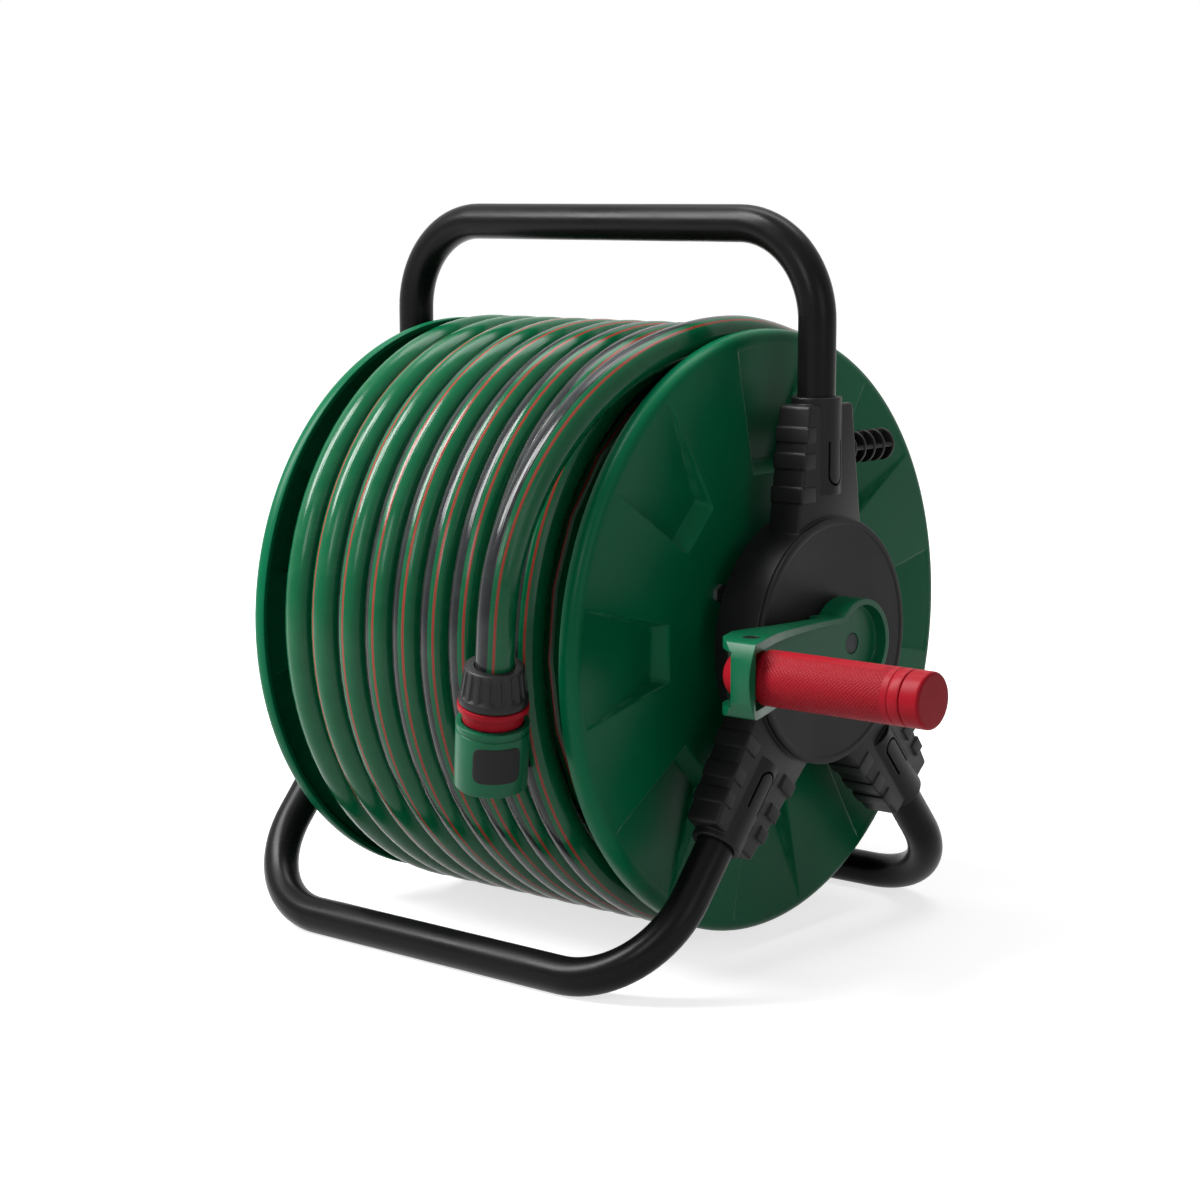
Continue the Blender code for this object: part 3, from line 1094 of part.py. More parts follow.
def build_crank(side):
    """The crank arm: a tray that the grip folds into, with a cup on the drum's axis."""
    depth = TIP_FRONT_X - CRANK_BACK_X + 2 * CUT_PAST
    middle_x = (TIP_FRONT_X + CRANK_BACK_X) / 2
    arm = outline_plate("crank_arm", crank_outline(), depth, side, (0, 0, 0), (0, 0, 0))
    arm.data.transform(Matrix.Translation((middle_x, 0, 0)) @ PLATE_TO_SIDE)
    side_view = outline_plate("crank_arm_side_view", crank_side_view(), 3 * CUP_RADIUS, side, (0, 0, 0),
                              (0, 0, 0), cutter=True)
    combine(arm, side_view, "INTERSECT")
    bm = bmesh.new()
    wall_y = -(CRANK_REACH + GRIP_RADIUS + TRAY_END_GAP)
    add_box(bm, (TRAY_FLOOR_X, wall_y, -TRAY_HALF_HEIGHT), (TIP_FRONT_X + CUT_PAST, 0.0, TRAY_HALF_HEIGHT))
    combine(arm, mesh_piece("crank_arm_tray", bm, side, cutter=True), "DIFFERENCE")
    cup = rod("crank_arm_cup", CUP_RADIUS - CUP_WALL, TRAY_FLOOR_X, TIP_FRONT_X, side, steps=24, cutter=True)
    combine(arm, cup, "DIFFERENCE")
    bm = bmesh.new()
    window_half = TRAY_HALF_HEIGHT - SEAT_GAP
    add_box(bm, (TRAY_FLOOR_X - 2 * CUT_PAST, wall_y - CRANK_TIP_BULGE, -window_half),
            (FOLD_PIN_X + CUT_PAST / 2, wall_y + CUT_PAST, window_half))
    combine(arm, mesh_piece("crank_arm_window", bm, side, cutter=True), "DIFFERENCE")
    bm = bmesh.new()
    add_rod(bm, SPINDLE_HEX_RADIUS + 1.5 * SEAT_GAP, CRANK_BACK_X - CUT_PAST, CRANK_FLOOR_X, 6, TURN_TO_X)
    combine(arm, mesh_piece("crank_arm_socket", bm, side, cutter=True), "DIFFERENCE")
    head = CRANK_SCREW_HEAD_RADIUS + SEAT_GAP
    shank = CRANK_SCREW_RADIUS + SEAT_GAP
    low, middle, high = CRANK_FLOOR_X - CUT_PAST, TRAY_FLOOR_X - CRANK_FLOOR / 2, TRAY_FLOOR_X + CUT_PAST
    profile = ((0.0, high), (head, high), (head, middle), (shank, middle), (shank, low), (0.0, low))
    combine(arm, turned("crank_arm_screw_hole", profile, side, steps=10, cutter=True), "DIFFERENCE")
    where = (FOLD_PIN_X, -CRANK_REACH, 0.0)
    pin_hole = FOLD_PIN_RADIUS + SEAT_GAP
    head_hole = FOLD_PIN_HEAD_RADIUS + SEAT_GAP
    floor = TIP_HALF_HEIGHT - FOLD_PIN_HEAD_HEIGHT - SEAT_GAP
    past = TIP_HALF_HEIGHT + CUT_PAST
    profile = ((0.0, past), (head_hole, past), (head_hole, floor), (pin_hole, floor), (pin_hole, -past),
               (0.0, -past))
    combine(arm, turned("crank_arm_pin_hole", profile, side, steps=12, location=where, rotation=(0, 0, 0),
                        cutter=True), "DIFFERENCE")
    dress(arm, "green_plastic")
    screw_head = TRAY_FLOOR_X - SEAT_GAP
    screw_end = CRANK_FLOOR_X - CRANK_SCREW_LENGTH + 2 * SEAT_GAP
    head_foot = TRAY_FLOOR_X - CRANK_FLOOR / 2 + SEAT_GAP
    profile = ((0.0, screw_head), (CRANK_SCREW_HEAD_RADIUS, screw_head), (CRANK_SCREW_HEAD_RADIUS, head_foot),
               (CRANK_SCREW_RADIUS, head_foot), (CRANK_SCREW_RADIUS, screw_end), (0.0, screw_end))
    dress(turned("crank_screw", profile, side, steps=10), "steel")


def build_fold_pin(side):
    where = (FOLD_PIN_X, -CRANK_REACH, 0.0)
    top = TIP_HALF_HEIGHT
    seat = top - FOLD_PIN_HEAD_HEIGHT
    foot = -TIP_HALF_HEIGHT - FOLD_PIN_TAIL
    profile = ((0.0, top), (FOLD_PIN_HEAD_RADIUS, top), (FOLD_PIN_HEAD_RADIUS, seat), (FOLD_PIN_RADIUS, seat),
               (FOLD_PIN_RADIUS, foot), (0.0, foot))
    dress(turned("fold_pin", profile, side, steps=12, location=where, rotation=(0, 0, 0)), "dark_steel")
    ring_top = -TIP_HALF_HEIGHT - SEAT_GAP
    clip = ring("fold_pin_ring", FOLD_PIN_RADIUS + SEAT_GAP / 3, FOLD_PIN_RING_RADIUS,
                ring_top - FOLD_PIN_RING_HEIGHT, ring_top, side, steps=12, location=where, rotation=(0, 0, 0))
    dress(clip, "dark_steel")


def build_grip(pivot):
    """The grip: a knuckle on the fold pin with a rod, a sleeve that turns on the rod, and an end cap."""
    face = GRIP_ROOT - SEAT_GAP
    cap_back = GRIP_LENGTH - GRIP_CAP_LENGTH
    rod_end = GRIP_LENGTH - GRIP_ROD_BACK
    wide = GRIP_RADIUS + CUT_PAST
    bm = bmesh.new()
    bmesh.ops.create_uvsphere(bm, u_segments=12, v_segments=6, radius=KNUCKLE_RADIUS)
    knuckle = mesh_piece("grip_spindle", bm, pivot)
    bm = bmesh.new()
    add_box(bm, (face, -wide, -wide), (wide, wide, wide))
    combine(knuckle, mesh_piece("grip_spindle_face", bm, pivot, cutter=True), "DIFFERENCE")
    shank = rod("grip_spindle_rod", GRIP_ROD_RADIUS, 0.0, rod_end, pivot, steps=12, cutter=True)
    combine(knuckle, shank, "UNION")
    combine(knuckle, rod("grip_spindle_hole", FOLD_PIN_RADIUS + SEAT_GAP, -wide, wide, pivot, steps=12,
                         rotation=(0, 0, 0), cutter=True), "DIFFERENCE")
    dress(knuckle, "red_plastic")
    bore = GRIP_ROD_RADIUS + RUN_GAP
    sleeve_end = cap_back - SEAT_GAP
    profile = ((GRIP_RADIUS - GRIP_EDGE / 2, sleeve_end), (GRIP_RADIUS, sleeve_end - GRIP_EDGE),
               (GRIP_RADIUS, GRIP_ROOT + GRIP_EDGE), (GRIP_RADIUS - GRIP_EDGE, GRIP_ROOT), (bore, GRIP_ROOT),
               (bore, sleeve_end))
    dress(turned("grip_sleeve", profile, pivot, steps=GRIP_STEPS, closed=True), "red_plastic")
    outer = [(0.0, GRIP_LENGTH)]
    outer += arc(GRIP_RADIUS - GRIP_CAP_ROUND, GRIP_LENGTH - GRIP_CAP_ROUND, GRIP_CAP_ROUND, 90, 0, 2)
    outer += [(GRIP_RADIUS, cap_back), (bore, cap_back), (bore, rod_end + SEAT_GAP), (0.0, rod_end + SEAT_GAP)]
    dress(turned("grip_end_cap", outer, pivot, steps=GRIP_STEPS), "red_plastic")


# ------------------------------------------------------------------ assembly
def build():
    root = empty("hose_reel", location=(-MIDDLE_X, 0.0, AXIS_HEIGHT))
    frame = empty("frame", root)
    drum = empty("drum_axis", root)
    crank_side = empty("crank_side", frame)
    inlet_side = empty("inlet_side", frame, rotation=(0, 0, math.pi))
    drum_crank_side = empty("drum_crank_side", drum)
    drum_inlet_side = empty("drum_inlet_side", drum, rotation=(0, 0, math.pi))

    build_frame_tubes(frame)
    crank_bracket = build_bracket("crank_side", crank_side)
    build_bracket("inlet_side", inlet_side)
    build_hub_cap("crank_side", crank_side, SHAFT_RADIUS + SEAT_GAP)
    build_hub_cap("inlet_side", inlet_side, SPIGOT_RADIUS + SEAT_GAP)
    build_bush("crank_side", crank_side)
    build_bush("inlet_side", inlet_side)
    build_peg(crank_side, crank_bracket)
    build_inlet(inlet_side)

    build_flange("crank_side", drum_crank_side)
    build_flange("inlet_side", drum_inlet_side)
    build_barrel(drum)
    build_tie_rods(drum)
    build_drive_spindle(drum_crank_side)
    build_swivel_elbow(drum_inlet_side)
    build_hose_inner_end(drum_inlet_side)
    winding = build_hose(drum)
    build_free_hose(drum, winding)

    connector = empty("connector_axis", drum)
    connector.matrix_local = connector_matrix()
    collar = empty("collar_slide", connector)
    build_nut(connector)
    build_connector_body(connector)
    build_collar(connector, collar)

    build_crank(drum_crank_side)
    build_fold_pin(drum_crank_side)
    pivot = empty("fold_pivot", drum_crank_side, location=(FOLD_PIN_X, -CRANK_REACH, 0.0))
    build_grip(pivot)
    bpy.context.view_layer.update()


build()
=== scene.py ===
"""Looks of a garden hose reel: a drum of striped hose in a free-standing frame of black tube.

Every size is in metres. Pieces are drawn about the drum's axis, with X along the axis towards the
crank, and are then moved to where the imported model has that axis. Angles about the axis are in
degrees: 0 is the rear (+Y), 90 the top, 180 the front and 270 the floor.
"""
import logging
import math
from dataclasses import dataclass, field
from enum import Enum
from typing import Callable, Optional, Sequence

import bmesh
import bpy
from mathutils import Matrix, Vector


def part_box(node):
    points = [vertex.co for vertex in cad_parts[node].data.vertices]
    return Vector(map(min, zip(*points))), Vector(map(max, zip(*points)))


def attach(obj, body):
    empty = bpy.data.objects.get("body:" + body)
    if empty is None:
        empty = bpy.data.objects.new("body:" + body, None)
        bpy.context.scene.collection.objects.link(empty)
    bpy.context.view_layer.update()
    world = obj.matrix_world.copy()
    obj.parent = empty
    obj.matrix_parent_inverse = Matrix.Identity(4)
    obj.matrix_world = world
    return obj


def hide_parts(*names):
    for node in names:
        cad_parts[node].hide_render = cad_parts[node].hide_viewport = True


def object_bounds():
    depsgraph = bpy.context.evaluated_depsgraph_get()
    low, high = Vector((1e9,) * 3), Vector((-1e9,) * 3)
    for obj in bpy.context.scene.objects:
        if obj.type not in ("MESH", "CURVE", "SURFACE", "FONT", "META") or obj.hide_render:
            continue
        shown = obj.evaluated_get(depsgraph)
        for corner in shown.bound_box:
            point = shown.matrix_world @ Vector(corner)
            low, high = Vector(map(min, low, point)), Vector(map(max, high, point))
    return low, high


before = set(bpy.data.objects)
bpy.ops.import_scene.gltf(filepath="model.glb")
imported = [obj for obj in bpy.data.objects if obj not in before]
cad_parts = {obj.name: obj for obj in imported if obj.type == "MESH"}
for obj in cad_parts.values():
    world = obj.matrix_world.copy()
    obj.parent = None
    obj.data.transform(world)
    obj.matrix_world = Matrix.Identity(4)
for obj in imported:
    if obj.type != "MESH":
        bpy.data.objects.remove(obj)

CAD_BOX = [list(corner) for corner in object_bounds()]
LOG = logging.getLogger("hose_reel")
MM = 0.001
WHITE = (1.0, 1.0, 1.0, 1.0)
SHARP = 32.0  # degrees between faces above which an edge stays sharp

Piece = bpy.types.Object
Socket = bpy.types.NodeSocket
Profile = Sequence[tuple[float, float]]
Outline = list[tuple[float, float]]
Mapping = Callable[[int, int], tuple[float, float]]


class Body(str, Enum):
    """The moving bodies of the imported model."""

    FRAME = "frame"
    DRUM = "drum"
    GRIP = "grip"
    SLEEVE = "grip_sleeve"
    COLLAR = "connector_collar"


class Slot(str, Enum):
    """The record's material slots."""

    TUBE = "black_tube"
    BLACK = "black_plastic"
    GREEN = "green_plastic"
    RED = "red_plastic"
    HOSE = "green_hose"
    ACETAL = "acetal"
    STEEL = "steel"
    DARK_STEEL = "dark_steel"
    RUBBER = "rubber"


class Side(Enum):
    """The two ends of the drum, with the half turn about Z that carries crank-side shapes there."""

    CRANK = 0.0
    INLET = 180.0

    @property
    def turn(self) -> Matrix:
        """The half turn, or none."""
        return Matrix.Rotation(math.radians(self.value), 4, "Z")

    @property
    def prefix(self) -> str:
        """The start of this side's node names."""
        return self.name.lower() + "_side"


# ---------------------------------------------------------------------------- colour and node helpers
def linear(colour: str) -> tuple[float, float, float, float]:
    """Turns an sRGB hex colour into the linear values that shaders use.

    Args:
        colour: six hex digits, such as "0A5C3A".

    Returns:
        Red, green, blue and an alpha of 1.
    """
    values = [int(colour[place:place + 2], 16) / 255.0 for place in (0, 2, 4)]
    curved = [value / 12.92 if value <= 0.04045 else ((value + 0.055) / 1.055) ** 2.4 for value in values]
    return curved[0], curved[1], curved[2], 1.0


def add_node(tree: bpy.types.NodeTree, kind: str, links: Optional[dict] = None, values: Optional[dict] = None,
             **settings) -> bpy.types.Node:
    """Adds one shader node with its settings, plain values and links.

    Args:
        tree: the node tree that takes the node.
        kind: the node's type, without "ShaderNode".
        links: for each input's name or number, the output socket that feeds it.
        values: for each input's name or number, its plain value.
        **settings: the node's own properties.

    Returns:
        The new node.
    """
    node = tree.nodes.new("ShaderNode" + kind)
    for key, value in settings.items():
        setattr(node, key, value)
    for key, value in (values or {}).items():
        node.inputs[key].default_value = value
    for key, socket in (links or {}).items():
        tree.links.new(socket, node.inputs[key])
    return node


class ShaderTree:
    """A new material's node tree, with one short call for each kind of node that the finishes share."""

    def __init__(self, name: str) -> None:
        """Starts an empty material."""
        self.material = bpy.data.materials.new(name)
        self.material.use_nodes = True
        self.tree = self.material.node_tree
        self.tree.nodes.clear()
        self.places = add_node(self.tree, "TexCoord").outputs

    def noise(self, scale: float, detail: float, roughness: float = 0.5) -> Socket:
        """Clouds or grain in object space, with a number of features for each metre."""
        return add_node(self.tree, "TexNoise", {"Vector": self.places["Object"]},
                        {"Scale": scale, "Detail": detail, "Roughness": roughness}).outputs["Fac"]

    def spread(self, value: Socket, low: float, high: float, to_low: float = 0.0, to_high: float = 1.0) -> Socket:
        """Stretches one range of values onto another."""
        return add_node(self.tree, "MapRange", {"Value": value}, {"From Min": low, "From Max": high, "To Min": to_low,
                                                                  "To Max": to_high}).outputs["Result"]

    def maths(self, operation: str, *items) -> Socket:
        """One step of arithmetic on sockets or plain numbers."""
        links = {place: item for place, item in enumerate(items) if isinstance(item, Socket)}
        values = {place: item for place, item in enumerate(items) if place not in links}
        return add_node(self.tree, "Math", links, values, operation=operation).outputs[0]

    def mix(self, factor: Socket, first, second) -> Socket:
        """Mixes two colours, each a socket or a hex colour."""
        node = add_node(self.tree, "Mix", {"Factor": factor}, data_type="RGBA")
        for key, item in (("A", first), ("B", second)):
            if isinstance(item, str):
                node.inputs[key].default_value = linear(item)
            else:
                self.tree.links.new(item, node.inputs[key])
        return node.outputs["Result"]

    def bump(self, height: Socket, distance: float, strength: float = 1.0, normal: Optional[Socket] = None) -> Socket:
        """Turns a height into a relief of a real depth."""
        links = {"Height": height, "Normal": normal} if normal else {"Height": height}
        return add_node(self.tree, "Bump", links, {"Strength": strength, "Distance": distance}).outputs["Normal"]

    def finish(self, links: dict, values: dict) -> bpy.types.Material:
        """Closes the tree with a principled shader and returns the material."""
        shader = add_node(self.tree, "BsdfPrincipled", links, values)
        add_node(self.tree, "OutputMaterial", {"Surface": shader.outputs["BSDF"]})
        return self.material


# ---------------------------------------------------------------------------- finishes
@dataclass(frozen=True)
class MouldedPlastic:
    """Injection-moulded polypropylene or ABS.

    The tool's spark-eroded skin gives a fine even grain that breaks highlights up, corners are
    slightly round, and the colour drifts a little where the melt ran and where hands rub.
    """

    name: str
    slot: Slot
    colour: str
    drift_colour: str
    roughness: float = 0.42
    specular: float = 0.35
    grain: float = 0.9 * MM          # a real grain is 0.1 to 0.3 mm: drawn coarser so that it shows
    grain_height: float = 0.012 * MM
    corner: float = 0.45 * MM
    drift: float = 40 * MM

    def material(self) -> bpy.types.Material:
        """Builds the material, with the drift, the grain and the round corners."""
        tree = ShaderTree(self.name)
        clouds = tree.noise(1.0 / self.drift, 3.0, 0.55)
        corners = add_node(tree.tree, "Bevel", values={"Radius": self.corner}, samples=6).outputs["Normal"]
        return tree.finish(
            {"Base Color": tree.mix(tree.spread(clouds, 0.38, 0.62), self.colour, self.drift_colour),
             "Roughness": tree.spread(clouds, 0.3, 0.7, self.roughness - 0.05, self.roughness + 0.05),
             "Normal": tree.bump(tree.noise(1.0 / self.grain, 2.0, 0.6), self.grain_height, normal=corners)},
            {"IOR": 1.49, "Specular IOR Level": self.specular})


@dataclass(frozen=True)
class PowderCoat:
    """Bent steel tube under a satin polyester powder coat.

    The powder flows out with a shallow orange peel, so the tube shows long soft highlights whose
    edges waver, and the coat is a little duller where it is held.
    """

    name: str = "powder_coated_steel_tube"
    slot: Slot = Slot.TUBE
    colour: str = "080808"
    worn_colour: str = "0C0C0C"
    peel: float = 2.2 * MM
    peel_height: float = 0.020 * MM
    roughness: float = 0.28

    def material(self) -> bpy.types.Material:
        """Builds the material, with its orange peel and its worn patches."""
        tree = ShaderTree(self.name)
        worn = tree.noise(22.0, 4.0)
        return tree.finish(
            {"Base Color": tree.mix(worn, self.colour, self.worn_colour),
             "Roughness": tree.spread(worn, 0.35, 0.65, self.roughness - 0.04, self.roughness + 0.07),
             "Normal": tree.bump(tree.noise(1.0 / self.peel, 1.0), self.peel_height)},
            {"IOR": 1.5, "Specular IOR Level": 0.08})


@dataclass(frozen=True)
class StripedHose:
    """Extruded soft PVC hose with co-extruded stripes.

    The skin is glossy and smooth with faint die lines along it. A broad grey stripe, a thin green
    gap and a thin red stripe run along the green hose, and turn about it over its first metres.
    The mesh's first coordinate is the share of a turn about the hose, with 0.5 facing away from
    the drum, and the second is metres along it.
    """

    name: str = "extruded_pvc_hose"
    slot: Slot = Slot.HOSE
    radius: float = 9.25 * MM
    green: str = "024A2C"
    grey: str = "17181A"
    red: str = "7A2B22"
    dust: str = "5E7F6C"
    grey_from: float = 0.252
    grey_to: float = 0.452
    red_from: float = 0.493
    red_to: float = 0.514
    stripe_edge: float = 0.003
    start_turn: float = 0.879
    first_twist: float = 0.29
    twist_dies_in: float = 3.0       # metres along the hose in which the twist falls to a third
    roughness: float = 0.17
    die_line: float = 1.2 * MM
    die_line_height: float = 0.02 * MM

    def material(self) -> bpy.types.Material:
        """Builds the material, with its stripes, die lines and dust."""
        tree = ShaderTree(self.name)
        parts = add_node(tree.tree, "SeparateXYZ", {"Vector": tree.places["UV"]}).outputs
        falling = tree.maths("EXPONENT", tree.maths("MULTIPLY", parts["Y"], -1.0 / self.twist_dies_in))
        turning = tree.maths("MULTIPLY_ADD", falling, self.first_twist, parts["X"])
        share = tree.maths("FRACT", tree.maths("ADD", turning, self.start_turn))
        stripes = add_node(tree.tree, "ValToRGB", {"Fac": share})
        ramp = stripes.color_ramp
        for element in ramp.elements:
            element.color = linear(self.green)
        edge = self.stripe_edge
        for low, high, shade in ((self.grey_from, self.grey_to, self.grey), (self.red_from, self.red_to, self.red)):
            for place, tint in ((low - edge, self.green), (low + edge, shade), (high - edge, shade),
                                (high + edge, self.green)):
                ramp.elements.new(place).color = linear(tint)
        dust = tree.noise(90.0, 5.0)
        lines = round(math.tau * self.radius / self.die_line)
        wave = tree.maths("SINE", tree.maths("MULTIPLY", parts["X"], math.tau * lines))
        return tree.finish(
            {"Base Color": tree.mix(tree.spread(dust, 0.45, 0.80, 0.0, 0.05), stripes.outputs["Color"], self.dust),
             "Roughness": tree.spread(dust, 0.3, 0.7, self.roughness - 0.04, self.roughness + 0.06),
             "Normal": tree.bump(wave, self.die_line_height, 0.5)},
            {"IOR": 1.53, "Specular IOR Level": 0.14})


@dataclass(frozen=True)
class KnurledGrip:
    """Moulded red ABS with a diamond knurl cut in its tool.

    Small raised diamonds catch the light one by one over the whole grip but for a smooth framed
    panel along its top and a plain band at its tip. The mesh's first coordinate is the share of a
    turn about the grip, with 0 facing up, and the second is metres from the fold pin.
    """

    name: str = "knurled_moulded_abs"
    slot: Slot = Slot.RED
    colour: str = "80101B"
    # painted shade: this darker red is laid on the raised knurl diamonds, so that the knurl shows in the colour
    shade: str = "6C0D16"
    roughness: float = 0.40
    pitch: float = 2.1 * MM          # real diamonds are about 1.5 mm: drawn coarser so that they show
    height: float = 0.22 * MM
    radius: float = 13.15 * MM
    panel_middle: float = 48 * MM
    panel_half_length: float = 27 * MM
    panel_half_width: float = 4.6 * MM
    frame_width: float = 0.7 * MM
    knurl_from: float = 14 * MM
    knurl_to: float = 80 * MM

    def material(self) -> bpy.types.Material:
        """Builds the material, with the knurl, the panel and its frame."""
        tree = ShaderTree(self.name)
        maths = tree.maths
        parts = add_node(tree.tree, "SeparateXYZ", {"Vector": tree.places["UV"]}).outputs
        about, along = maths("WRAP", parts["X"], 0.5, -0.5), parts["Y"]
        count = round(math.tau * self.radius / self.pitch)
        ridge_about = maths("MULTIPLY", about, math.pi * count)
        ridge_along = maths("MULTIPLY", along, math.pi / self.pitch)
        diamonds = maths("MINIMUM", *(maths("ABSOLUTE", maths("SINE", maths(way, ridge_about, ridge_along)))
                                      for way in ("ADD", "SUBTRACT")))
        across = maths("MULTIPLY", about, math.tau * self.radius)
        beside = maths("SUBTRACT", maths("ABSOLUTE", across), self.panel_half_width)
        past = maths("SUBTRACT", maths("ABSOLUTE", maths("SUBTRACT", along, self.panel_middle)),
                     self.panel_half_length)
        outside = maths("MAXIMUM", beside, past)
        ends = maths("MINIMUM", maths("GREATER_THAN", along, self.knurl_from),
                     maths("LESS_THAN", along, self.knurl_to))
        mask = maths("MULTIPLY", tree.spread(outside, self.frame_width, 2 * self.frame_width), ends)
        framing = maths("COMPARE", outside, 0.0, self.frame_width / 2)
        raised = maths("MULTIPLY", diamonds, mask)
        relief = maths("SUBTRACT", raised, maths("MULTIPLY", framing, ends))
        worn = tree.noise(60.0, 4.0)
        return tree.finish(
            # painted shade: the raised diamonds take the darker red; the panel, its frame and the ends keep the plain
            # red
            {"Base Color": tree.mix(raised, self.colour, self.shade),
             "Roughness": tree.spread(worn, 0.3, 0.7, self.roughness - 0.06, self.roughness + 0.06),
             "Normal": tree.bump(relief, self.height, 0.8)},
            {"IOR": 1.54, "Specular IOR Level": 0.06})


@dataclass(frozen=True)
class TurnedSteel:
    """Zinc-plated or blackened steel, turned or cold-headed.

    Fine tool rings and a slightly cloudy plating give a soft metallic shine.
    """

    name: str
    slot: Slot
    colour: str
    roughness: float = 0.34
    ring: float = 0.5 * MM           # real tool rings are 0.1 mm: drawn coarser so that they show
    ring_height: float = 0.01 * MM

    def material(self) -> bpy.types.Material:
        """Builds the material, with its rings and its clouded plating."""
        tree = ShaderTree(self.name)
        return tree.finish(
            {"Roughness": tree.spread(tree.noise(300.0, 3.0), 0.3, 0.7, self.roughness - 0.08,
                                      self.roughness + 0.08),
             "Normal": tree.bump(tree.noise(1.0 / self.ring, 1.0), self.ring_height, 0.6)},
            {"Base Color": linear(self.colour), "Metallic": 1.0})


class Finishes:
    """Every finish on the reel, each material made once."""

    TUBE = PowderCoat()
    BRACKET = MouldedPlastic("spark_eroded_black_polypropylene", Slot.BLACK, "0C0C0C", "101010",
                             roughness=0.42, specular=0.14, corner=0.9 * MM, grain=1.1 * MM, grain_height=0.030 * MM)
    HUB_CAP = MouldedPlastic("matt_black_moulded_disc", Slot.BLACK, "131313", "161616",
                             roughness=0.50, specular=0.12, corner=0.8 * MM, grain=0.8 * MM, grain_height=0.018 * MM)
    NUT = MouldedPlastic("black_moulded_acetal", Slot.BLACK, "101010", "161616", roughness=0.40, specular=0.16)
    FLANGE = MouldedPlastic("green_moulded_polypropylene", Slot.GREEN, "004C2F", "005234",
                            roughness=0.32, specular=0.07, grain=1.2 * MM, grain_height=0.006 * MM,
                            corner=0.5 * MM, drift=90 * MM)
    CRANK = MouldedPlastic("green_moulded_abs", Slot.GREEN, "04462C", "054C31", roughness=0.32, specular=0.14,
                           grain=0.9 * MM, grain_height=0.006 * MM, corner=0.6 * MM)
    RED = MouldedPlastic("red_moulded_abs", Slot.RED, "84101C", "7C0E19", roughness=0.36, specular=0.06,
                         grain=0.8 * MM, grain_height=0.008 * MM)
    ACETAL = MouldedPlastic("natural_moulded_acetal", Slot.ACETAL, "E4E1D6", "DAD6C8", roughness=0.45)
    RUBBER = MouldedPlastic("moulded_rubber", Slot.RUBBER, "161617", "1A1A1B", roughness=0.60, specular=0.12,
                            grain=0.8 * MM, grain_height=0.03 * MM)
    HOSE = StripedHose()
    GRIP = KnurledGrip()
    STEEL = TurnedSteel("zinc_plated_steel", Slot.STEEL, "8E9092")
    DARK_STEEL = TurnedSteel("blackened_steel", Slot.DARK_STEEL, "2B2C2E", roughness=0.42)

    _made: dict[str, bpy.types.Material] = {}

    @classmethod
    def of(cls, finish) -> bpy.types.Material:
        """Returns a finish's material, made the first time it is asked for."""
        if finish.name not in cls._made:
            cls._made[finish.name] = finish.material()
        return cls._made[finish.name]

    @classmethod
    def dress(cls, piece: Piece, finish) -> None:
        """Gives a piece made here one finish."""
        piece.data.materials.clear()
        piece.data.materials.append(cls.of(finish))

    @classmethod
    def repaint(cls, finish, *nodes: str) -> None:
        """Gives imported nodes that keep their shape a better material."""
        for node in nodes:
            for slot in bpy.data.objects[node].material_slots:
                slot.material = cls.of(finish)


def settle(piece: Piece, node: str, finish, body: Body) -> Piece:
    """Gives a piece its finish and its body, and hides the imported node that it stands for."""
    Finishes.dress(piece, finish)
    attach(piece, body.value)
    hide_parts(node)
    return piece


# ---------------------------------------------------------------------------- mesh helpers
def soften(points: Profile, radius: float, steps: int = 3, closed: bool = True) -> Outline:
    """Rounds the corners of a flat outline or profile.

    Args:
        points: the corners in order.
        radius: how far back from a corner its rounding starts, at most half of each side.
        steps: the pieces that each rounding is made of.
        closed: whether the last point joins the first; an open profile keeps its two ends.

    Returns:
        The points of the rounded outline.
    """
    count = len(points)
    result = []
    for place, point in enumerate(points):
        if not closed and place in (0, count - 1):
            result.append(tuple(point))
            continue
        corner = Vector(point)
        before, after = Vector(points[place - 1]), Vector(points[(place + 1) % count])
        start = corner + (before - corner) * min(radius / max((before - corner).length, 1e-9), 0.49)
        end = corner + (after - corner) * min(radius / max((after - corner).length, 1e-9), 0.49)
        for step in range(steps + 1):
            share = step / steps
            spot = start * (1 - share) ** 2 + corner * 2 * share * (1 - share) + end * share ** 2
            result.append((spot.x, spot.y))
    return result


def inset(points: Profile, distance: float) -> Outline:
    """Moves each side of a closed outline inwards by a distance and returns the new corners.

    Args:
        points: the corners, running anticlockwise.
        distance: how far each side moves in.

    Returns:
        One new corner for each old one.
    """
    result = []
    for place, point in enumerate(points):
        before, here, after = Vector(points[place - 1]), Vector(point), Vector(points[(place + 1) % len(points)])
        first, second = (here - before), (after - here)
        normals = [Vector((-side.y, side.x)).normalized() for side in (first, second) if side.length > 1e-9]
        if not normals:
            result.append(tuple(here))
            continue
        middle = sum(normals, Vector((0.0, 0.0))).normalized()
        result.append(tuple(here + middle * distance / max(middle.dot(normals[0]), 0.4)))
    return result


def divide(points: Profile, longest: float) -> Outline:
    """Splits the sides of a closed outline so that none is longer than a length, for bending."""
    result = []
    for place, start in enumerate(points):
        end = points[(place + 1) % len(points)]
        count = max(1, math.ceil(math.dist(start, end) / longest))
        result += [(start[0] + (end[0] - start[0]) * step / count, start[1] + (end[1] - start[1]) * step / count)
                   for step in range(count)]
    return result


def arc(centre_x: float, centre_y: float, radius: float, start: float, end: float, steps: int) -> Outline:
    """Points along an arc, angles in degrees."""
    angles = [math.radians(start + (end - start) * step / steps) for step in range(steps + 1)]
    return [(centre_x + radius * math.cos(angle), centre_y + radius * math.sin(angle)) for angle in angles]


def about_axis(angle: float, x: float, radius: float) -> Vector:
    """A point at an angle about the drum's axis."""
    turn = math.radians(angle)
    return Vector((x, radius * math.cos(turn), radius * math.sin(turn)))


def radial_frame(angle: float) -> Matrix:
    """Turns a shape drawn with its radial direction along +Z to an angle about the drum's axis."""
    return Matrix.Rotation(math.radians(angle - 90.0), 4, "X")


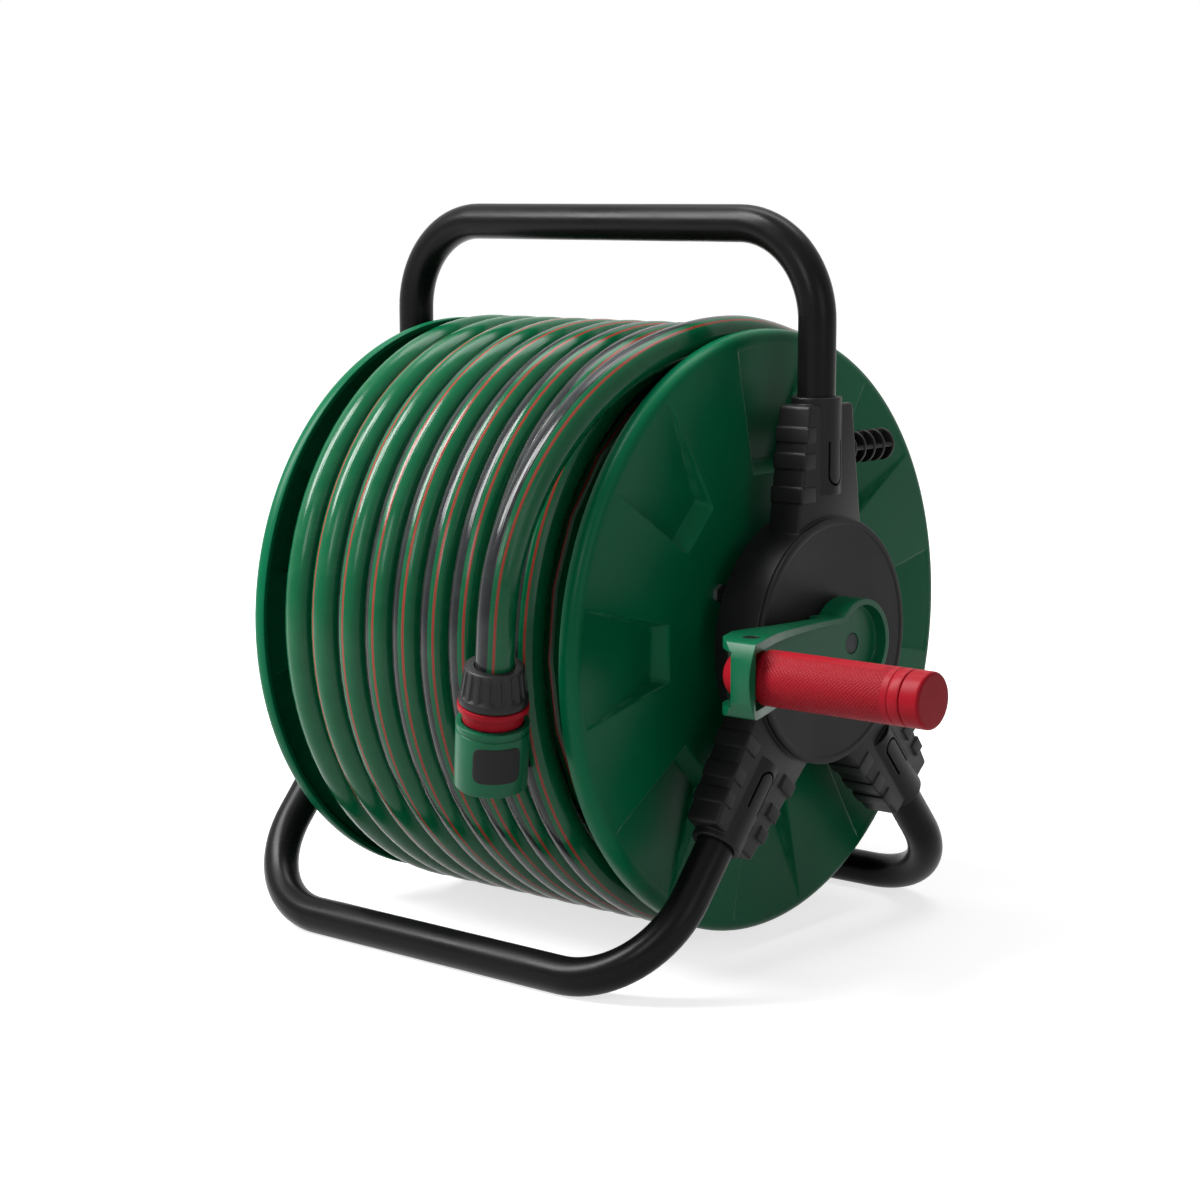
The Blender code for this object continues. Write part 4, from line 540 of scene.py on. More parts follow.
TO_AXIS = Matrix.Rotation(math.radians(90), 4, "Y")
# Stands a plate's own X and Y along Y and Z, with its thickness along X.
PLATE_TO_SIDE = Matrix(((0, 0, 1, 0), (1, 0, 0, 0), (0, 1, 0, 0), (0, 0, 0, 1)))


def axis_place() -> Matrix:
    """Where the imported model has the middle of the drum's axis, found from its two flanges."""
    corners = [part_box(side.prefix + "_flange") for side in Side]
    low = [min(pair[0][place] for pair in corners) for place in range(3)]
    high = [max(pair[1][place] for pair in corners) for place in range(3)]
    return Matrix.Translation([(first + last) / 2 for first, last in zip(low, high)])


AXIS = axis_place()


def circle(matrix: Matrix, distance: Callable[[int], float], height: float, steps: int) -> list[Vector]:
    """Points round a frame's own Z, each at its own distance, placed by a matrix."""
    turns = [math.tau * step / steps for step in range(steps)]
    return [matrix @ Vector((distance(step) * math.cos(turn), distance(step) * math.sin(turn), height))
            for step, turn in enumerate(turns)]


@dataclass
class Shell:
    """Gathers the closed surfaces of one piece, in the frame of the drum's axis."""

    points: list[Vector] = field(default_factory=list)
    faces: list[tuple[int, ...]] = field(default_factory=list)
    coordinates: list[tuple[tuple[float, float], ...]] = field(default_factory=list)

    def grid(self, rows: Sequence[Sequence[Vector]], loop: bool = False, cap: bool = False,
             mapping: Optional[Mapping] = None) -> "Shell":
        """Adds a surface through rows of points, each of which closes on itself.

        Args:
            rows: rows with the same number of points.
            loop: whether the last row joins the first.
            cap: whether the first and last rows are closed with flat faces.
            mapping: the surface coordinate of a row's and column's number.

        Returns:
            This shell, so that calls can be chained.
        """
        base, width = len(self.points), len(rows[0])
        for row in rows:
            self.points.extend(Vector(point) for point in row)
        for number in range(len(rows) if loop else len(rows) - 1):
            following = (number + 1) % len(rows)
            for column in range(width):
                beside = (column + 1) % width
                self.faces.append((base + number * width + column, base + number * width + beside,
                                   base + following * width + beside, base + following * width + column))
                corners = ((number, column), (number, column + 1), (number + 1, column + 1), (number + 1, column))
                self.coordinates.append(tuple(mapping(*corner) if mapping else (0.0, 0.0) for corner in corners))
        if cap:
            for ends in (range(width)[::-1], range((len(rows) - 1) * width, len(rows) * width)):
                self.faces.append(tuple(base + place for place in ends))
                self.coordinates.append(tuple((0.0, 0.0) for _ in range(width)))
        return self

    def turn(self, profile: Profile, matrix: Matrix = TO_AXIS, steps: int = 96, closed: bool = True,
             mapping: Optional[Mapping] = None) -> "Shell":
        """Adds a turned form from (distance, height) pairs about its own Z, placed by a matrix."""
        return self.grid([circle(matrix, lambda step, held=distance: held, height, steps)
                          for distance, height in profile], loop=closed, mapping=mapping)

    def plate(self, outline: Profile, low: float, high: float, matrix: Matrix, edge: float = 0.0) -> "Shell":
        """Adds a plate from an outline in its own X and Y, between two heights, with round edges."""
        layers = [(low, 0.0), (high, 0.0)]
        if edge:
            rounding = [(edge * (1 - math.cos(turn)), edge * (1 - math.sin(turn)))
                        for turn in (math.radians(angle) for angle in (0, 30, 60, 90))]
            layers = [(low + rise, shrink) for rise, shrink in rounding]
            layers += [(high - rise, shrink) for rise, shrink in reversed(rounding)]
        rows = [[matrix @ Vector((x, y, height)) for x, y in inset(outline, shrink)] for height, shrink in layers]
        return self.grid(rows, cap=True)

    def sweep(self, path: Sequence[Vector], radius: float, sides: int = 24, start: float = 0.0,
              outward: Optional[Callable[[Vector], Vector]] = None) -> "Shell":
        """Adds a round tube along a path, with its coordinates about and along it.

        Args:
            path: the points of the centre line.
            radius: the tube's radius.
            sides: the number of its sides.
            start: the metres along it where the path begins.
            outward: the direction that coordinate 0.5 faces at a point; away from the axis by default.

        Returns:
            This shell, so that calls can be chained.
        """
        lengths, rows = [start], []
        for first, second in zip(path, path[1:]):
            lengths.append(lengths[-1] + (second - first).length)
        for place, point in enumerate(path):
            along = (path[min(place + 1, len(path) - 1)] - path[max(place - 1, 0)]).normalized()
            away = outward(point) if outward else Vector((0.0, point.y, point.z))
            away = (away - along * away.dot(along)).normalized()
            across = along.cross(away)
            across = -across if outward is None and across.x < 0 else across
            rows.append([point + radius * (away * math.cos(turn) + across * math.sin(turn))
                         for turn in (math.tau * (side / sides - 0.5) for side in range(sides))])
        return self.grid(rows, cap=True,
                         mapping=lambda row, column: (column / sides, lengths[min(row, len(lengths) - 1)]))

    def build(self, name: str, sharp: float = SHARP) -> Piece:
        """Makes the piece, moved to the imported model's axis.

        Args:
            name: the piece's name.
            sharp: the angle between faces, in degrees, above which an edge stays sharp.

        Returns:
            The new object, at the origin with its place in its mesh.
        """
        mesh = bpy.data.meshes.new(name)
        mesh.from_pydata([AXIS @ point for point in self.points], [], self.faces)
        layer = mesh.uv_layers.new(name="surface")
        flat = [corner for corners in self.coordinates for corner in corners]
        for loop, coordinate in zip(layer.data, flat):
            loop.uv = coordinate
        work = bmesh.new()
        work.from_mesh(mesh)
        bmesh.ops.remove_doubles(work, verts=work.verts, dist=1e-6)
        bmesh.ops.recalc_face_normals(work, faces=work.faces)
        work.to_mesh(mesh)
        work.free()
        for polygon in mesh.polygons:
            polygon.use_smooth = True
        mesh.set_sharp_from_angle(angle=math.radians(sharp))
        piece = bpy.data.objects.new(name, mesh)
        bpy.context.scene.collection.objects.link(piece)
        keep_in_box(piece)
        return piece

    def stand_for(self, node: str, finish, body: Body, sharp: float = SHARP) -> Piece:
        """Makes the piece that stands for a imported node, with its finish and its body."""
        return settle(self.build(node + "_skin", sharp), node, finish, body)


def carve(piece: Piece, tool: Piece, operation: str = "DIFFERENCE") -> Piece:
    """Cuts a piece by a second one or keeps their overlap, and removes the second.

    Args:
        piece: the piece that changes.
        tool: the piece that it is cut by.
        operation: DIFFERENCE or INTERSECT.

    Returns:
        The changed piece.
    """
    modifier = piece.modifiers.new("carve", "BOOLEAN")
    modifier.operation = operation
    modifier.solver = "EXACT"
    modifier.object = tool
    shapes = bpy.context.evaluated_depsgraph_get()
    mesh = bpy.data.meshes.new_from_object(piece.evaluated_get(shapes))
    piece.modifiers.clear()
    piece.data = mesh
    for polygon in mesh.polygons:
        polygon.use_smooth = True
    mesh.set_sharp_from_angle(angle=math.radians(SHARP))
    bpy.data.objects.remove(tool)
    return piece


def merge(name: str, pieces: Sequence[Piece]) -> Piece:
    """Joins pieces into the first one's mesh under a new name, and returns it."""
    with bpy.context.temp_override(active_object=pieces[0], object=pieces[0], selected_objects=list(pieces),
                                   selected_editable_objects=list(pieces)):
        bpy.ops.object.join()
    pieces[0].name = name
    return pieces[0]


def keep_in_box(piece: Piece) -> None:
    """Brings a piece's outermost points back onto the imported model's box, where its facets are flat."""
    low, high = CAD_BOX
    for vertex in piece.data.vertices:
        for place in range(3):
            vertex.co[place] = min(max(vertex.co[place], low[place]), high[place])


def smooth_line(points: Sequence[Vector], steps: int) -> list[Vector]:
    """Points along a Catmull-Rom curve through the given ones, with a number of steps for each span."""
    padded = [2 * points[0] - points[1]] + list(points) + [2 * points[-1] - points[-2]]
    fine = []
    for index in range(1, len(padded) - 2):
        before, start, end, after = padded[index - 1:index + 3]
        for step in range(steps):
            t = step / steps
            fine.append(0.5 * (2 * start + (end - before) * t + (2 * before - 5 * start + 4 * end - after) * t ** 2
                               + (3 * start - before - 3 * end + after) * t ** 3))
    return fine + [points[-1]]


def even_line(points: Sequence[Vector], count: int) -> list[Vector]:
    """Picks points at even distances along a line."""
    lengths = [0.0]
    for first, second in zip(points, points[1:]):
        lengths.append(lengths[-1] + (second - first).length)
    line, place = [], 0
    for number in range(count):
        target = lengths[-1] * number / (count - 1)
        while place < len(points) - 2 and lengths[place + 1] < target:
            place += 1
        share = (target - lengths[place]) / (lengths[place + 1] - lengths[place])
        line.append(points[place].lerp(points[place + 1], min(share, 1.0)))
    return line


# ---------------------------------------------------------------------------- sizes that sub-assemblies share
@dataclass(frozen=True)
class ReelSizes:
    """Sizes that more than one sub-assembly needs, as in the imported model."""

    seat_gap: float = 0.3 * MM
    tube_radius: float = 9.5 * MM
    leg_x: float = 137.0 * MM
    handle_angle: float = 90.0
    foot_slope: float = 49.0
    flange_face: float = 109.7 * MM
    flange_radius: float = 153.7 * MM
    barrel_radius: float = 78.0 * MM
    hose_radius: float = 9.25 * MM
    winding_radius: float = 146.35 * MM
    arm_back_x: float = 127.0 * MM
    arm_front_x: float = 147.0 * MM
    hub_radius: float = 62.0 * MM
    cap_back_x: float = 147.3 * MM
    cap_front_x: float = 150.0 * MM
    shaft_radius: float = 12.0 * MM
    spigot_radius: float = 8.8 * MM

    @property
    def socket_angles(self) -> tuple[float, float, float]:
        """The directions of the handle and the two feet."""
        return self.handle_angle, 180.0 + self.foot_slope, 360.0 - self.foot_slope


SIZES = ReelSizes()


# ---------------------------------------------------------------------------- camera
@dataclass(frozen=True)
class Camera:
    """A long lens, a little above the hub and forty degrees round towards the crank."""

    place: tuple[float, float, float] = (0.84762, -1.0743, 0.38278)
    round_to: float = 40.02
    down: float = 8.665
    lens: float = 79.515

    def make(self) -> Piece:
        """Makes the camera and hands it to the scene."""
        data = bpy.data.cameras.new("studio_camera")
        data.lens = self.lens
        data.sensor_width = 36.0
        camera = bpy.data.objects.new("studio_camera", data)
        bpy.context.scene.collection.objects.link(camera)
        camera.location = self.place
        camera.rotation_euler = (math.radians(90.0 - self.down), 0.0, math.radians(self.round_to))
        bpy.context.scene.camera = camera
        return camera


# ---------------------------------------------------------------------------- connector frame
@dataclass(frozen=True)
class ConnectorFrame:
    """Where the connector lies against the winding, and the heights of its parts along its own axis."""

    tangent_angle: float = 189.7
    tangent_x: float = 74.5 * MM
    distance: float = 173.4 * MM
    tilt: float = 11.6
    mouth: float = 26.5 * MM
    body_front: float = 24.0 * MM
    bore_floor: float = -8.0 * MM
    collar_back: float = -6.2 * MM
    neck_front: float = -6.5 * MM
    nut_foot: float = -16.0 * MM
    nut_top: float = -34.5 * MM
    hose_end: float = -24.0 * MM
    thread_back: float = -23.7 * MM

    @property
    def matrix(self) -> Matrix:
        """From the connector's own frame, with Z from the nut to the mouth, to the axis frame."""
        angle, tilt = math.radians(self.tangent_angle), math.radians(self.tilt)
        tangent = Vector((0.0, -math.sin(angle), math.cos(angle)))
        along = (tangent * math.cos(tilt) - Vector((math.sin(tilt), 0.0, 0.0))).normalized()
        outward = Vector((0.0, math.cos(angle), math.sin(angle)))
        across = along.cross(outward).normalized()
        turn = Matrix((across, along.cross(across), along)).transposed().to_4x4()
        return Matrix.Translation(about_axis(self.tangent_angle, self.tangent_x, self.distance)) @ turn


CONNECTOR = ConnectorFrame()


# ---------------------------------------------------------------------------- hose
@dataclass
class Hose:
    """The striped hose: its free end over the winding, the outer layer of turns, and the layers below."""

    pitch: float = 19.0 * MM
    start_x: float = -88.55 * MM
    start_angle: float = -15.0
    steps_per_turn: int = 24
    last_step: int = 221
    finer: int = 4
    sides: int = 28
    layer_step: float = 19.6 * MM
    rise_angle: float = 48.0
    rise_steps: int = 16
    inner_layers: int = 3
    inner_sides: int = 12
    free_length: float = 352 * MM
    free_points: int = 20
    bore_radius: float = 6.35 * MM
    elbow_x: float = -78.0 * MM
    inner_end_low: float = 24.3 * MM
    inner_end_high: float = 76.75 * MM
    # The free end's route after its straight start: angle, place along X, distance from the axis.
    route: tuple[tuple[float, float, float], ...] = (
        (76.0, 0.0876, 0.1490), (86.0, 0.0884, 0.1502), (96.0, 0.0890, 0.1520), (106.0, 0.0892, 0.1550),
        (116.0, 0.0890, 0.1595), (126.0, 0.0886, 0.1650), (136.0, 0.0881, 0.1710), (146.0, 0.0874, 0.1766),
        (156.0, 0.0864, 0.1806), (166.0, 0.0852, 0.1818))

    def winding_point(self, step: float) -> Vector:
        """A point of the outer layer's centre line, counted in twenty-fourths of a turn."""
        turns = step / self.steps_per_turn
        return about_axis(self.start_angle + 360.0 * turns, self.start_x + self.pitch * turns,
                          SIZES.winding_radius)

    @property
    def winding_length(self) -> float:
        """How much hose the outer layer holds."""
        turns = self.last_step / self.steps_per_turn
        return turns * math.hypot(math.tau * SIZES.winding_radius, self.pitch)

    def free_route(self) -> list[Vector]:
        """The free end's centre line, from the winding's end into the connector's nut."""
        last, before = self.winding_point(self.last_step), self.winding_point(self.last_step - 1)
        leaving = (last - before).normalized()
        start = last + leaving * SIZES.seat_gap
        middle = [about_axis(angle, x, radius) for angle, x, radius in self.route]
        outside = CONNECTOR.matrix @ Vector((0, 0, CONNECTOR.nut_top - SIZES.hose_radius))
        inside = CONNECTOR.matrix @ Vector((0, 0, CONNECTOR.hose_end))
        ends = [start, start + leaving * 2 * SIZES.hose_radius]
        return even_line(smooth_line(ends + middle + [outside, inside], 12), self.free_points)

    def make_free_end(self) -> Piece:
        """Returns:
            The hose's free end.
        """
        route = self.free_route()
        shell = Shell().sweep(smooth_line(route, 4), SIZES.hose_radius, self.sides, start=self.winding_length)
        piece = shell.stand_for("hose_free_end", Finishes.HOSE, Body.DRUM)
        path = [AXIS @ point for point in route]
        length = sum((second - first).length for first, second in zip(path, path[1:]))
        tuple(path[0])
        [tuple(point) for point in path]
        return piece

    def make_winding(self) -> Piece:
        """Makes the outer layer as one tube that rises from the layer below and is wound round the drum."""
        shares = [share / self.rise_steps for share in range(self.rise_steps, 0, -1)]
        path = [about_axis(self.start_angle - self.rise_angle * share, self.start_x,
                           SIZES.winding_radius - self.layer_step * share * share * (3 - 2 * share))
                for share in shares]
        rise = math.radians(self.rise_angle) * SIZES.winding_radius
        path += [self.winding_point(step / self.finer) for step in range(self.last_step * self.finer + 1)]
        shell = Shell().sweep(path, SIZES.hose_radius, self.sides, start=-rise)
        return shell.stand_for("hose_winding", Finishes.HOSE, Body.DRUM)

    def make_inner_layers(self) -> Piece:
        """Makes the three layers under the outer one, each wound from side to side."""
        shell = Shell()
        half = -self.start_x
        for layer in range(self.inner_layers):
            radius = SIZES.barrel_radius + SIZES.seat_gap + SIZES.hose_radius + layer * self.layer_step
            turns = int(2 * half / self.pitch)
            way = 1 if layer % 2 else -1
            count = turns * self.steps_per_turn
            path = [about_axis(360.0 * step / self.steps_per_turn,
                               way * (half - self.pitch * step / self.steps_per_turn), radius)
                    for step in range(count + 1)]
            shell.sweep(path, SIZES.hose_radius, self.inner_sides)
        return shell.stand_for("hose_inner_layers", Finishes.HOSE, Body.DRUM)

    def make_inner_end(self) -> Piece:
        """Makes the short run from the swivel's nipple out to the first layer."""
        profile = [(self.bore_radius, self.inner_end_low), (SIZES.hose_radius, self.inner_end_low),
                   (SIZES.hose_radius, self.inner_end_high), (self.bore_radius, self.inner_end_high)]
        shell = Shell().turn(soften(profile, 0.6 * MM), Matrix.Translation((self.elbow_x, 0, 0)), steps=32)
        return shell.stand_for("hose_inner_end", Finishes.HOSE, Body.DRUM)

    def build(self) -> list[Piece]:
        """Makes the wound hose; the free end is made with the connector."""
        return [self.make_winding(), self.make_inner_layers(), self.make_inner_end()]


# ---------------------------------------------------------------------------- connector
@dataclass
class Connector:
    """The quick connector on the hose's end: a fluted nut, a red body and a sliding collar with pads."""

    nut_top_radius: float = 14.0 * MM
    nut_foot_radius: float = 16.5 * MM
    nut_band: float = 4.0 * MM
    flutes: int = 18
    flute_depth: float = 0.9 * MM
    steps_per_flute: int = 12
    neck_radius: float = 14.5 * MM
    ring_radius: float = 17.0 * MM
    ring_thickness: float = 3.0 * MM
    thread_radius: float = 12.0 * MM
    bore_radius: float = 7.7 * MM
    waterway_radius: float = 4.5 * MM
    collar_radius: float = 17.5 * MM
    collar_bore: float = 12.3 * MM
    spring_room: float = 6.2 * MM
    groove_place: float = 3.5 * MM
    groove_width: float = 1.2 * MM
    groove_depth: float = 0.5 * MM
    pad_half_angle: float = 39.0
    pad_height: float = 18.0 * MM
    pad_corner: float = 4.5 * MM
    pad_thickness: float = 1.1 * MM
    pad_proud: float = 0.4 * MM
    pad_facing: tuple[float, float, float] = (0.777, -0.629, 0.0)

    def make_nut(self) -> Piece:
        """Makes the nut: raised ribs with round-ended hollows between them, and a plain band at its foot."""
        top, foot = CONNECTOR.nut_top, CONNECTOR.nut_foot
        band = foot - self.nut_band
        slope = (self.nut_foot_radius - self.nut_top_radius) / (foot - top)
        columns = self.flutes * self.steps_per_flute
        hole = SIZES.hose_radius + 0.45 * MM
        heights = [top + 0.6 * MM, top + 1.2 * MM, top + 1.8 * MM, top + 2.6 * MM, top + 4.0 * MM]
        heights += [top + 4.0 * MM + (band - top - 8.0 * MM) * step / 5 for step in range(1, 6)]
        heights += [band - 2.6 * MM, band - 1.6 * MM, band - 0.9 * MM, band - 0.4 * MM]

        def hollow(column: int, height: float) -> float:
            """How deep the surface lies at a column and height."""
            share = abs(((column / self.steps_per_flute) % 1.0) - 0.5) * 2.0
            reach = max(0.0, 1.0 - (share / 0.66) ** 4)
            end = min(height - top - 1.0 * MM, band - height - 0.4 * MM) / (2.2 * MM)
            return self.flute_depth * reach * math.sqrt(min(max(end, 0.0), 1.0))

        def ribbed(height: float) -> Callable[[int], float]:
            """The surface's distance from the nut's middle at a height, for each column."""
            radius = self.nut_top_radius + slope * (height - top)
            return lambda column: radius - hollow(column, height)

        rows = [circle(CONNECTOR.matrix, ribbed(height), height, columns) for height in heights]
        foot_radius = self.nut_foot_radius
        around = [(foot_radius - 0.3 * MM, band), (foot_radius, band + 0.4 * MM), (foot_radius, foot - 0.4 * MM),
                  (foot_radius - 0.4 * MM, foot), (hole, foot), (hole, top), (self.nut_top_radius - 1.0 * MM, top),
                  (self.nut_top_radius - 0.4 * MM, top + 0.15 * MM)]
        rows += [circle(CONNECTOR.matrix, lambda column, held=distance: held, height, columns)
                 for distance, height in around]
        shell = Shell().grid(rows, loop=True)
        return shell.stand_for("connector_nut", Finishes.NUT, Body.DRUM, sharp=38.0)

    def make_body(self) -> Piece:
        """Makes the red body: a thread in the nut, a raised ring, a neck, and the tube in the collar."""
        inner = self.collar_bore - SIZES.seat_gap
        neck_back = CONNECTOR.nut_foot + SIZES.seat_gap
        ring_front = neck_back + self.ring_thickness
        profile = [(inner, CONNECTOR.body_front), (inner, CONNECTOR.neck_front),
                   (self.neck_radius, CONNECTOR.neck_front), (self.neck_radius, ring_front),
                   (self.ring_radius, ring_front), (self.ring_radius, neck_back),
                   (self.thread_radius, neck_back), (self.thread_radius, CONNECTOR.thread_back),
                   (self.waterway_radius, CONNECTOR.thread_back), (self.waterway_radius, CONNECTOR.bore_floor),
                   (self.bore_radius, CONNECTOR.bore_floor), (self.bore_radius, CONNECTOR.body_front)]
        shell = Shell().turn(soften(profile, 0.35 * MM), CONNECTOR.matrix)
        return shell.stand_for("connector_body", Finishes.RED, Body.DRUM)

    def make_collar(self) -> Piece:
        """Makes the green collar, with its groove and its rounded mouth."""
        back, mouth = CONNECTOR.collar_back, CONNECTOR.mouth
        high = back + self.groove_place + self.groove_width / 2
        low = high - self.groove_width
        grooved = self.collar_radius - self.groove_depth
        step = back + self.spring_room
        wide = self.neck_radius + SIZES.seat_gap
        profile = [(self.collar_radius, mouth), (self.collar_radius, high), (grooved, high), (grooved, low),
                   (self.collar_radius, low), (self.collar_radius, back), (wide, back), (wide, step),
                   (self.collar_bore, step), (self.collar_bore, mouth)]
        shell = Shell().turn(soften(profile, 0.25 * MM), CONNECTOR.matrix)
        return shell.stand_for("connector_collar", Finishes.CRANK, Body.COLLAR)

    def make_pad(self, number: int) -> Piece:
        """Makes one soft grip pad with round corners, bent round the collar.

        Args:
            number: 1 for the pad that faces outwards, 2 for the one behind it.

        Returns:
            The pad.
        """
        facing = CONNECTOR.matrix.to_3x3().transposed() @ Vector(self.pad_facing)
        middle_turn = math.atan2(facing.y, facing.x) + (math.pi if number == 2 else 0.0)
        outer = self.collar_radius + self.pad_proud
        half_width = outer * math.radians(self.pad_half_angle)
        half_height = self.pad_height / 2
        middle = (CONNECTOR.mouth + CONNECTOR.collar_back) / 2
        outline = soften([(half_width, -half_height), (half_width, half_height), (-half_width, half_height),
                          (-half_width, -half_height)], self.pad_corner, steps=6)
        outline = divide(outline, 0.8 * MM)
        rows = []
        for shrink, under in ((0.0, self.pad_thickness), (0.0, 0.25 * MM), (0.1 * MM, 0.08 * MM), (0.35 * MM, 0.0)):
            rows.append([(x, y, outer - under) for x, y in inset(outline, shrink)])
        face = rows[-1]
        for share in (0.85, 0.6, 0.3, 0.08):
            rows.append([(x * share, y * share, outer) for x, y, _ in face])
        back = rows[0]
        rows = [[(x * share, y * share, outer - self.pad_thickness) for x, y, _ in back]
                for share in (0.08, 0.3, 0.6, 0.85)] + rows
        shell = Shell().grid([[CONNECTOR.matrix @ Vector((distance * math.cos(middle_turn + x / outer),
                                                          distance * math.sin(middle_turn + x / outer), middle + y))
                               for x, y, distance in row] for row in rows], cap=True)
        return shell.stand_for("collar_pad_%d" % number, Finishes.RUBBER, Body.COLLAR)

    def build(self) -> list[Piece]:
        """Makes the connector's visible pieces."""
        return [self.make_nut(), self.make_body(), self.make_collar(), self.make_pad(1), self.make_pad(2)]


# ---------------------------------------------------------------------------- tube frame
@dataclass
class TubeFrame:
    """The handle and the two feet: three U bends of tube."""

    handle_reach: float = 206.11 * MM
    foot_reach: float = 204.11 * MM
    handle_bend: float = 48.0 * MM
    foot_bend: float = 53.0 * MM
    tube_end: float = 78.3 * MM
    bend_steps: int = 20
    sides: int = 40

    def make_tube(self, name: str, angle: float, reach: float, bend: float) -> Piece:
        """Makes one U of tube.

        Args:
            name: the node that it stands for.
            angle: the direction of its legs about the drum's axis.
            reach: from the axis to the middle of its bar.
            bend: the radius of its bends.

        Returns:
            The tube.
        """
        side, height = SIZES.leg_x - bend, reach - bend
        flat = [(SIZES.leg_x, self.tube_end), (SIZES.leg_x, height * 0.6 + self.tube_end * 0.4)]
        flat += arc(side, height, bend, 0, 90, self.bend_steps)
        flat += [(side * share, reach) for share in (0.5, 0.0, -0.5)]
        flat += arc(-side, height, bend, 90, 180, self.bend_steps)
        flat += [(-SIZES.leg_x, height * 0.6 + self.tube_end * 0.4), (-SIZES.leg_x, self.tube_end)]
        turn = radial_frame(angle)
        across = turn @ Vector((0, 1, 0))
        shell = Shell().sweep([turn @ Vector((x, 0.0, z)) for x, z in flat], SIZES.tube_radius, self.sides,
                              outward=lambda point: across)
        return shell.stand_for(name, Finishes.TUBE, Body.FRAME, sharp=60.0)

    def build(self) -> list[Piece]:
        """Makes the handle and both feet."""
        top, front, rear = SIZES.socket_angles
        return [self.make_tube("handle_tube", top, self.handle_reach, self.handle_bend),
                self.make_tube("front_foot_tube", front, self.foot_reach, self.foot_bend),
                self.make_tube("rear_foot_tube", rear, self.foot_reach, self.foot_bend)]


